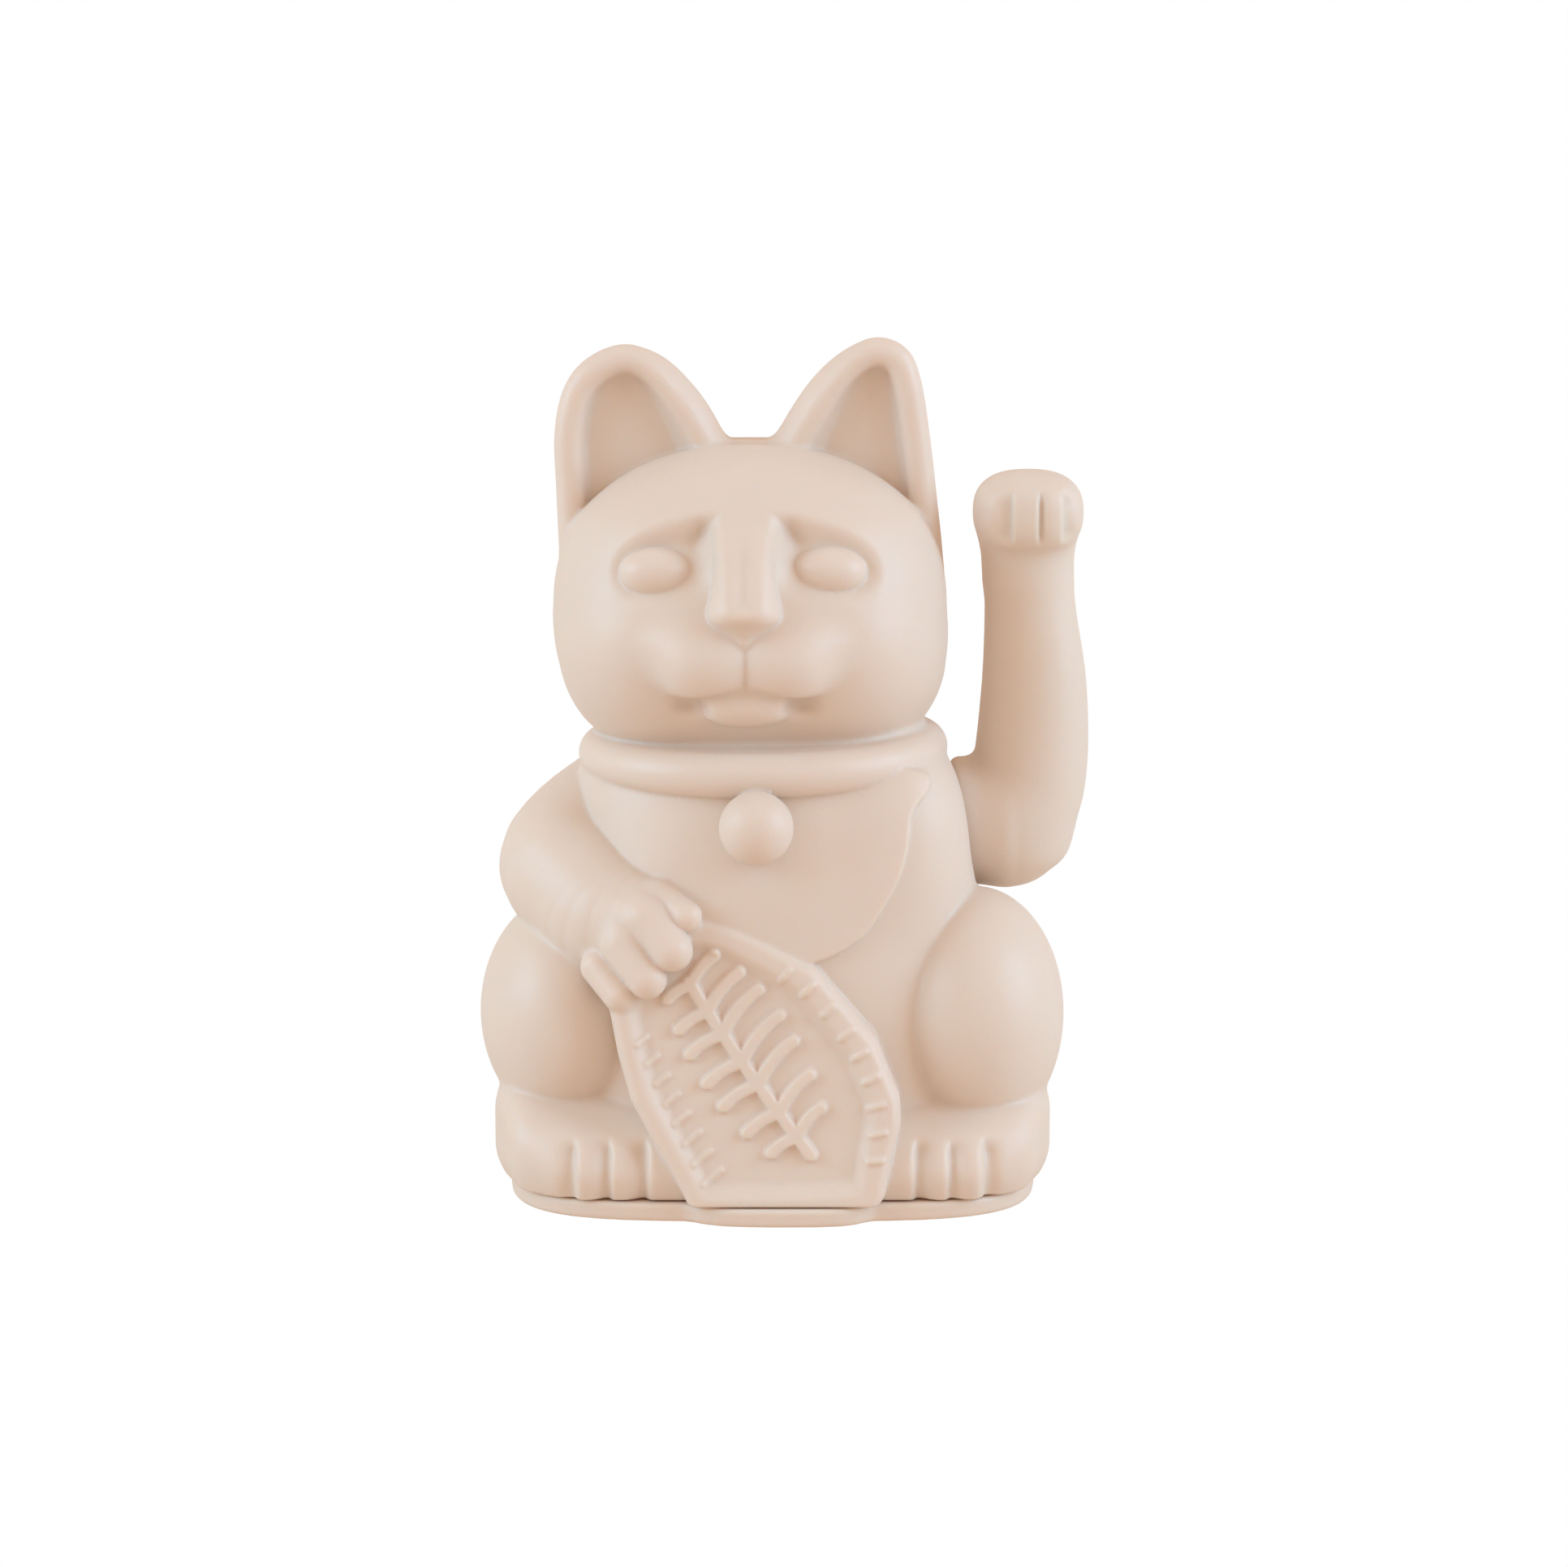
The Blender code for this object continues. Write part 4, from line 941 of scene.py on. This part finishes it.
def vector(tree, x=0.0, y=0.0, z=0.0):
    """Three values as one vector."""
    return put(tree, "ShaderNodeCombineXYZ", ("X", x), ("Y", y), ("Z", z)).outputs[0]


def moved(tree, geometry, **how):
    """A shape with a Translation or a Rotation."""
    return put(tree, "GeometryNodeTransform", ("Geometry", geometry), *how.items()).outputs[0]


def wire_on(tree, curve, radius, sides):
    """A round wire along a curve."""
    profile = put(tree, "GeometryNodeCurvePrimitiveCircle", ("Resolution", sides), ("Radius", radius))
    ends = (("Profile Curve", profile.outputs["Curve"]), ("Fill Caps", True))
    return put(tree, "GeometryNodeCurveToMesh", ("Curve", curve), *ends).outputs["Mesh"]


def finish_group(tree, take, result, shape, tilt):
    """Closes a group: a copy of the shape on each point, as real geometry with its finish."""
    copies = put(tree, "GeometryNodeInstanceOnPoints", ("Points", take["Geometry"]), ("Instance", shape),
                 ("Rotation", tilt))
    real = put(tree, "GeometryNodeRealizeInstances", ("Geometry", copies.outputs[0])).outputs[0]
    painted = put(tree, "GeometryNodeSetMaterial", ("Geometry", real), ("Material", take["Finish"]))
    tree.links.new(painted.outputs[0], result.inputs[0])
    print("group:", tree.name, len(tree.nodes), "nodes")


def made_by(name, tree, places, finish, **sizes):
    """A plain mesh object from a node group, with points in millimetres and sizes set by name."""
    points = bpy.data.meshes.new(name)
    points.from_pydata([Vector(place) * MM for place in places], [], [])
    made = linked(name, points)
    step = made.modifiers.new(name, "NODES")
    step.node_group = tree
    sizes["Finish"] = finish
    for item in tree.interface.items_tree:
        if item.item_type == "SOCKET" and item.in_out == "INPUT" and item.name.replace(" ", "_") in sizes:
            step[item.identifier] = sizes[item.name.replace(" ", "_")]
    bpy.context.view_layer.update()
    seen = made.evaluated_get(bpy.context.evaluated_depsgraph_get())
    mesh = bpy.data.meshes.new_from_object(seen)
    made.modifiers.clear()
    made.data = mesh
    mesh.shade_smooth()
    mesh.set_sharp_from_angle(angle=math.radians(35))
    print(name, len(mesh.polygons), "faces")
    return made


# %% A screw: cross-slotted head, pointed shank and thread
THREAD_START, THREAD_WIRE = 0.0006, 0.00016
THREAD_END_GAP = 0.0008
HEAD_TURN = 0.4
screw, take, give = shape_group("pan_head_screw", (
    ("Head radius", 0.0027), ("Head height", 0.0015), ("Shank radius", 0.00125), ("Length", 0.0089),
    ("Point", 0.0015), ("Pitch", 0.0009), ("Turn", 0.0),
))
take = take.outputs
head_r, head_h, shank_r, length = (take[k] for k in ("Head radius", "Head height", "Shank radius", "Length"))
head_cone = put(screw, "GeometryNodeMeshCone", ("Vertices", 28), ("Radius Top", times(screw, head_r, 0.76)),
                ("Radius Bottom", head_r), ("Depth", head_h))
head_down = moved(screw, head_cone.outputs["Mesh"], Rotation=(math.pi, 0, 0))
cut = put(screw, "GeometryNodeMeshBoolean", ("Mesh 1", head_down), operation="DIFFERENCE")
for turn in (0, math.pi / 2):
    size = vector(screw, times(screw, head_r, 1.1), times(screw, head_r, 0.24), head_h)
    bar = put(screw, "GeometryNodeMeshCube", ("Size", size)).outputs["Mesh"]
    sunk = vector(screw, z=times(screw, head_h, -1.0))
    screw.links.new(moved(screw, bar, Translation=sunk, Rotation=(0, 0, turn)), cut.inputs["Mesh 2"])
shank = put(screw, "GeometryNodeMeshCylinder", ("Vertices", 20), ("Side Segments", 8), ("Radius", shank_r),
            ("Depth", length))
shank = moved(screw, shank.outputs["Mesh"], Translation=vector(screw, z=times(screw, length, 0.5)))
spot = put(screw, "GeometryNodeInputPosition").outputs[0]
spot = put(screw, "ShaderNodeSeparateXYZ", ("Vector", spot)).outputs
taper_start = maths(screw, "SUBTRACT", length, take["Point"])
taper = put(screw, "ShaderNodeMapRange", ("Value", spot["Z"]), ("From Min", taper_start),
            ("From Max", length), ("To Min", 1.0), ("To Max", 0.3)).outputs[0]
pointed = vector(screw, times(screw, spot["X"], taper), times(screw, spot["Y"], taper), spot["Z"])
shank = put(screw, "GeometryNodeSetPosition", ("Geometry", shank), ("Position", pointed)).outputs[0]
thread_length = maths(screw, "SUBTRACT", taper_start, THREAD_END_GAP)
thread = put(screw, "GeometryNodeCurveSpiral", ("Resolution", 16),
             ("Rotations", maths(screw, "DIVIDE", thread_length, take["Pitch"])),
             ("Start Radius", shank_r), ("End Radius", shank_r), ("Height", thread_length))
thread = wire_on(screw, thread.outputs["Curve"], THREAD_WIRE, 4)
whole = put(screw, "GeometryNodeJoinGeometry")
for piece in (moved(screw, thread, Translation=(0, 0, THREAD_START)), shank, cut.outputs["Mesh"]):
    screw.links.new(piece, whole.inputs[0])
finish_group(screw, take, give, whole.outputs[0], vector(screw, take["Turn"], 0.0, HEAD_TURN))

# %% A wound wire: the coil's winding and the cell's spring
wound, take, give = shape_group("wound_wire", (
    ("Turns", 10.0), ("Start radius", 0.006), ("End radius", 0.006), ("Height", 0.005),
    ("Wire radius", 0.0003), ("Steps", 32), ("Sides", 8), ("Lay", 0.0),
))
take = take.outputs
spiral = put(wound, "GeometryNodeCurveSpiral", ("Resolution", take["Steps"]), ("Rotations", take["Turns"]),
             ("Start Radius", take["Start radius"]), ("End Radius", take["End radius"]),
             ("Height", take["Height"]))
wire = wire_on(wound, spiral.outputs["Curve"], take["Wire radius"], take["Sides"])
finish_group(wound, take, give, wire, vector(wound, y=take["Lay"]))

# %% [markdown]
# ## Finishes
# The cat is satin polypropylene-like plastic in a warm beige, which lets a little light in, so its
# creases glow. Two effects are shared between materials: the fine grain and soft mottle of a
# moulding, and the few pale specks of dust that settle on it. Metals share a third, fine scratches.

# %% Shared effects


def effect(name, inputs, outputs):
    """An empty shader group, its input and output nodes, and the object coordinates."""
    tree = bpy.data.node_groups.new(name, "ShaderNodeTree")
    for label, value in inputs:
        kind = "NodeSocketColor" if isinstance(value, tuple) else "NodeSocketFloat"
        tree.interface.new_socket(label, in_out="INPUT", socket_type=kind).default_value = value
    for label in outputs:
        kind = "NodeSocketColor" if label == "Colour" else "NodeSocketFloat"
        tree.interface.new_socket(label, in_out="OUTPUT", socket_type=kind)
    place = put(tree, "ShaderNodeTexCoord").outputs["Object"]
    return tree, tree.nodes.new("NodeGroupInput"), tree.nodes.new("NodeGroupOutput"), place


def noise(tree, place, scale, detail):
    """Cloudy values between 0 and 1 over the object."""
    return put(tree, "ShaderNodeTexNoise", ("Vector", place), ("Scale", scale), ("Detail", detail)).outputs[0]


def spread(tree, value, low, high):
    """A cloudy value stretched between two limits."""
    limits = (("From Min", 0.3), ("From Max", 0.7), ("To Min", low), ("To Max", high))
    return put(tree, "ShaderNodeMapRange", ("Value", value), *limits).outputs[0]


def shaded(tree, colour, factor):
    """A colour times a grey factor."""
    node = put(tree, "ShaderNodeMix", data_type="RGBA", blend_type="MULTIPLY")
    node.inputs["Factor"].default_value = 1.0
    tree.links.new(colour, node.inputs["A"])
    grey = put(tree, "ShaderNodeCombineColor", (0, factor), (1, factor), (2, factor))
    tree.links.new(grey.outputs[0], node.inputs["B"])
    return node.outputs["Result"]


# %% The grain and mottle of a moulding
WITH_RELIEF = ("Colour", "Roughness", "Height")
grain, take, give, place = effect(
    "moulding_grain", (("Colour", (0.8, 0.8, 0.8, 1)), ("Mottle", 0.03), ("Roughness", 0.45)), WITH_RELIEF
)
cloud = noise(grain, place, 70.0, 3.0)
low = maths(grain, "SUBTRACT", 1.0, take.outputs["Mottle"])
grain.links.new(shaded(grain, take.outputs["Colour"], spread(grain, cloud, low, 1.0)), give.inputs["Colour"])
uneven = spread(grain, noise(grain, place, 240.0, 2.0), -0.04, 0.04)
grain.links.new(maths(grain, "ADD", take.outputs["Roughness"], uneven), give.inputs["Roughness"])
grain.links.new(noise(grain, place, 2600.0, 2.0), give.inputs["Height"])
print("effect:", grain.name)

# %% Specks of dust
SPECK_RADIUS = 0.022
dust, take, give, place = effect(
    "dust_specks",
    (("Colour", (0.8, 0.8, 0.8, 1)), ("Speck colour", (0.95, 0.93, 0.9, 1)), ("Amount", 0.25)),
    ("Colour",),
)
cells = put(dust, "ShaderNodeTexVoronoi", ("Vector", place), ("Scale", 130.0))
chosen = put(dust, "ShaderNodeSeparateColor", ("Color", cells.outputs["Color"]))
near = maths(dust, "LESS_THAN", cells.outputs["Distance"], SPECK_RADIUS)
few = maths(dust, "LESS_THAN", chosen.outputs[0], take.outputs["Amount"])
dusty = put(dust, "ShaderNodeMix", data_type="RGBA")
dust.links.new(times(dust, near, few), dusty.inputs["Factor"])
dust.links.new(take.outputs["Colour"], dusty.inputs["A"])
dust.links.new(take.outputs["Speck colour"], dusty.inputs["B"])
dust.links.new(dusty.outputs["Result"], give.inputs["Colour"])
print("effect:", dust.name)

# %% Fine scratches in metal
scratches, take, give, place = effect(
    "metal_scratches", (("Colour", (0.6, 0.6, 0.6, 1)), ("Roughness", 0.3), ("Depth", 0.1)), WITH_RELIEF
)
drawn = put(scratches, "ShaderNodeMapping", ("Vector", place), ("Scale", (1.0, 12.0, 12.0))).outputs[0]
lines = noise(scratches, drawn, 300.0, 3.0)
tarnish = spread(scratches, noise(scratches, place, 160.0, 2.0), 0.88, 1.0)
scratches.links.new(shaded(scratches, take.outputs["Colour"], tarnish), give.inputs["Colour"])
uneven = spread(scratches, lines, -0.06, 0.1)
scratches.links.new(maths(scratches, "ADD", take.outputs["Roughness"], uneven), give.inputs["Roughness"])
scratches.links.new(times(scratches, lines, take.outputs["Depth"]), give.inputs["Height"])
print("effect:", scratches.name)

# %% Materials
GRAIN_DEPTH = 0.0002


def paint(name, colour, roughness, metallic=0.0, mottle=0.05, bump=0.02, specks=0.0, coat=0.0):
    """A material whose colour, roughness and bump come through the shared effects."""
    made = bpy.data.materials.new(name)
    made.use_nodes = True
    tree = made.node_tree
    shader = tree.nodes["Principled BSDF"]
    shader.inputs["Metallic"].default_value = metallic
    shader.inputs["Coat Weight"].default_value = coat
    surface = put(tree, "ShaderNodeGroup", node_tree=scratches if metallic else grain)
    surface.inputs["Colour"].default_value = (*colour, 1)
    surface.inputs["Roughness"].default_value = roughness
    if not metallic:
        surface.inputs["Mottle"].default_value = mottle
    shown = surface.outputs["Colour"]
    if specks:
        dusted = put(tree, "ShaderNodeGroup", node_tree=dust)
        dusted.inputs["Amount"].default_value = specks
        tree.links.new(shown, dusted.inputs["Colour"])
        shown = dusted.outputs["Colour"]
    tree.links.new(shown, shader.inputs["Base Color"])
    tree.links.new(surface.outputs["Roughness"], shader.inputs["Roughness"])
    height = surface.outputs["Height"]
    relief = put(tree, "ShaderNodeBump", ("Height", height), ("Strength", bump), ("Distance", GRAIN_DEPTH))
    tree.links.new(relief.outputs[0], shader.inputs["Normal"])
    return made


cat_plastic = paint("cat_plastic", (0.80, 0.66, 0.55), 0.45, mottle=0.02, bump=0.12, specks=0.12)
shader = cat_plastic.node_tree.nodes["Principled BSDF"]
shader.inputs["Subsurface Weight"].default_value = 0.4
shader.inputs["Subsurface Radius"].default_value = (1.0, 0.5, 0.3)
shader.inputs["Subsurface Scale"].default_value = 0.003
frame_plastic = paint("frame_plastic", (0.75, 0.75, 0.72), 0.5, bump=0.15)
black_plastic = paint("black_plastic", (0.03, 0.03, 0.03), 0.5, mottle=0.2, bump=0.2, specks=0.1)
steel = paint("steel", (0.60, 0.60, 0.62), 0.3, metallic=1.0, bump=0.3)
copper = paint("copper", (0.72, 0.35, 0.18), 0.3, metallic=1.0, bump=0.1, coat=0.4)
cell_sleeve = paint("cell_sleeve", (0.10, 0.12, 0.16), 0.3, mottle=0.1, bump=0.04, specks=0.15, coat=0.3)
red_wire = paint("red_wire", (0.55, 0.03, 0.03), 0.4, bump=0.05)
board_green = paint("board_green", (0.04, 0.20, 0.09), 0.35, mottle=0.15, bump=0.1, coat=0.3)
resistor_tan = paint("resistor_tan", (0.62, 0.48, 0.30), 0.4, mottle=0.1, bump=0.1)
NODE_FINISHES = (
    (frame_plastic, ("arm_hub", "pendulum_lever", "mechanism_frame")),
    (black_plastic, ("coil_bobbin", "cell_lead_black", "switch_body", "switch_knob", "transistor")),
    (steel, ("pivot_axle", "axle_clip", "pendulum_magnet", "pendulum_weight", "coil_core", "contact_plate")),
    (copper, ("coil_lead",)),
    (cell_sleeve, ("battery_cell", "capacitor")),
    (red_wire, ("cell_lead_red",)),
    (board_green, ("circuit_board",)),
    (resistor_tan, ("resistor",)),
)
for material, names in NODE_FINISHES:
    for name in names:
        for place in nodes[name].material_slots:
            place.material = material
print("materials:", sorted(m.name for m in bpy.data.materials if m.users))

# %% Make the screws, the winding and the spring
SCREWS = (
    ("base_screws", POSTS, 1.6, 0.0027, 0.00125, 0.0089, 0.0),
    ("frame_screws", FRAME_BOSSES, 8.6, 0.0024, 0.00105, 0.0071, math.pi),
    ("board_screws", BOARD_BOSSES, 10.9, 0.0022, 0.00105, 0.0074, math.pi),
)
screws = []
for name, bosses, seat, head, shank, length, turn in SCREWS:
    screws.append(made_by(name, screw, [(x, y, seat) for x, y in bosses], steel,
                          Head_radius=head, Shank_radius=shank, Length=length, Turn=turn))
winding = made_by("coil_winding_wire", wound, [(15.0, 4.0, 10.2)], copper, Turns=13.0, Sides=10,
                  Start_radius=0.00505, End_radius=0.00505, Height=0.0052, Wire_radius=0.00125)
spring = made_by("contact_spring_wire", wound, [(-27.6, 20.6, 10.4)], steel, Turns=3.0, Lay=math.pi / 2,
                 Start_radius=0.0046, End_radius=0.0024, Height=0.0025, Wire_radius=0.00035)

# %% Put each piece on its body
for piece in (front_skin, rear_skin, arm_front_skin, arm_rear_skin, base_skin, door_skin):
    piece.data.materials.append(cat_plastic)
for piece, body, slot, replaced in (
    (front_skin, "cat", "body_plastic", ["front_shell"]),
    (rear_skin, "cat", "body_plastic", ["rear_shell"]),
    (base_skin, "cat", "body_plastic", ["base_plate"]),
    (arm_front_skin, "arm", "body_plastic", ["arm_front_half"]),
    (arm_rear_skin, "arm", "body_plastic", ["arm_rear_half"]),
    (door_skin, "battery_door", "body_plastic", ["battery_door"]),
    *((piece, "cat", "steel", [n for n in nodes if n.startswith(piece.name[:-1])]) for piece in screws),
    (winding, "cat", "copper", ["coil_winding"]),
    (spring, "cat", "steel", ["contact_spring"]),
):
    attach(piece, body)
    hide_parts(*replaced)
    print(piece.name, "rides", body, "for", replaced)

# %% [markdown]
# ## Studio
# The figure stands on a plain white sweep between two large softboxes, in a bright room. The sweep
# sends a dim warm glow up into the undersides of jaw, arm and coin, as pale sweeps do. It can be
# looked through from below, so that the base plate and its door can be seen.

# %% Floor
WHITE = (1, 1, 1, 1)


def seen_apart(tree, lit, seen, output):
    """Light meets one shader and the camera another."""
    ray = put(tree, "ShaderNodeLightPath").outputs["Is Camera Ray"]
    choice = put(tree, "ShaderNodeMixShader", (0, ray), (1, lit), (2, seen))
    tree.links.new(choice.outputs[0], tree.nodes[output].inputs[0])


floor_mesh = bpy.data.meshes.new("floor")
floor_mesh.from_pydata([(-4, -4, 0), (4, -4, 0), (4, 4, 0), (-4, 4, 0)], [], [(0, 1, 2, 3)])
floor = linked("floor", floor_mesh)
floor_paint = paint("floor_paint", (0.35, 0.35, 0.35), 0.9)
tree = floor_paint.node_tree
shader = tree.nodes["Principled BSDF"]
shader.inputs["Emission Color"].default_value = (1.0, 0.72, 0.50, 1)
shader.inputs["Emission Strength"].default_value = 0.43
glow = put(tree, "ShaderNodeEmission", ("Color", WHITE)).outputs[0]
from_below = put(tree, "ShaderNodeNewGeometry").outputs["Backfacing"]
clear = put(tree, "ShaderNodeBsdfTransparent").outputs[0]
shown = put(tree, "ShaderNodeMixShader", (0, from_below), (1, glow), (2, clear)).outputs[0]
seen_apart(tree, shader.outputs[0], shown, "Material Output")
floor_mesh.materials.append(floor_paint)
print("floor", floor.dimensions[0], "m wide")

# %% Softboxes
MIDDLE = Vector((0.0, 0.0, 0.08))
SOFTBOX_SIZE = 0.8


def softbox(name, place, power, colour):
    """A square softbox aimed at the figure's middle."""
    lamp = bpy.data.lights.new(name, "AREA")
    lamp.size = SOFTBOX_SIZE
    lamp.energy = power
    lamp.color = colour
    made = linked(name, lamp)
    made.location = place
    made.rotation_euler = (MIDDLE - Vector(place)).to_track_quat("-Z", "Y").to_euler()
    print(name, power, "W")


softbox("left_softbox", (-1.1, -0.35, 0.55), 9.6, (0.35, 0.715, 1.0))
softbox("right_softbox", (1.1, -0.35, 0.55), 10.8, (0.36, 0.70, 1.0))

# %% Room
world = bpy.data.worlds.new("studio")
bpy.context.scene.world = world
world.use_nodes = True
room = world.node_tree.nodes["Background"]
room.inputs["Color"].default_value = (1.0, 0.77, 0.62, 1)
room.inputs["Strength"].default_value = 0.79
white = put(world.node_tree, "ShaderNodeBackground", ("Color", WHITE)).outputs[0]
seen_apart(world.node_tree, room.outputs[0], white, "World Output")
bpy.context.scene.view_settings.view_transform = "Standard"
print("room light", room.inputs["Strength"].default_value)
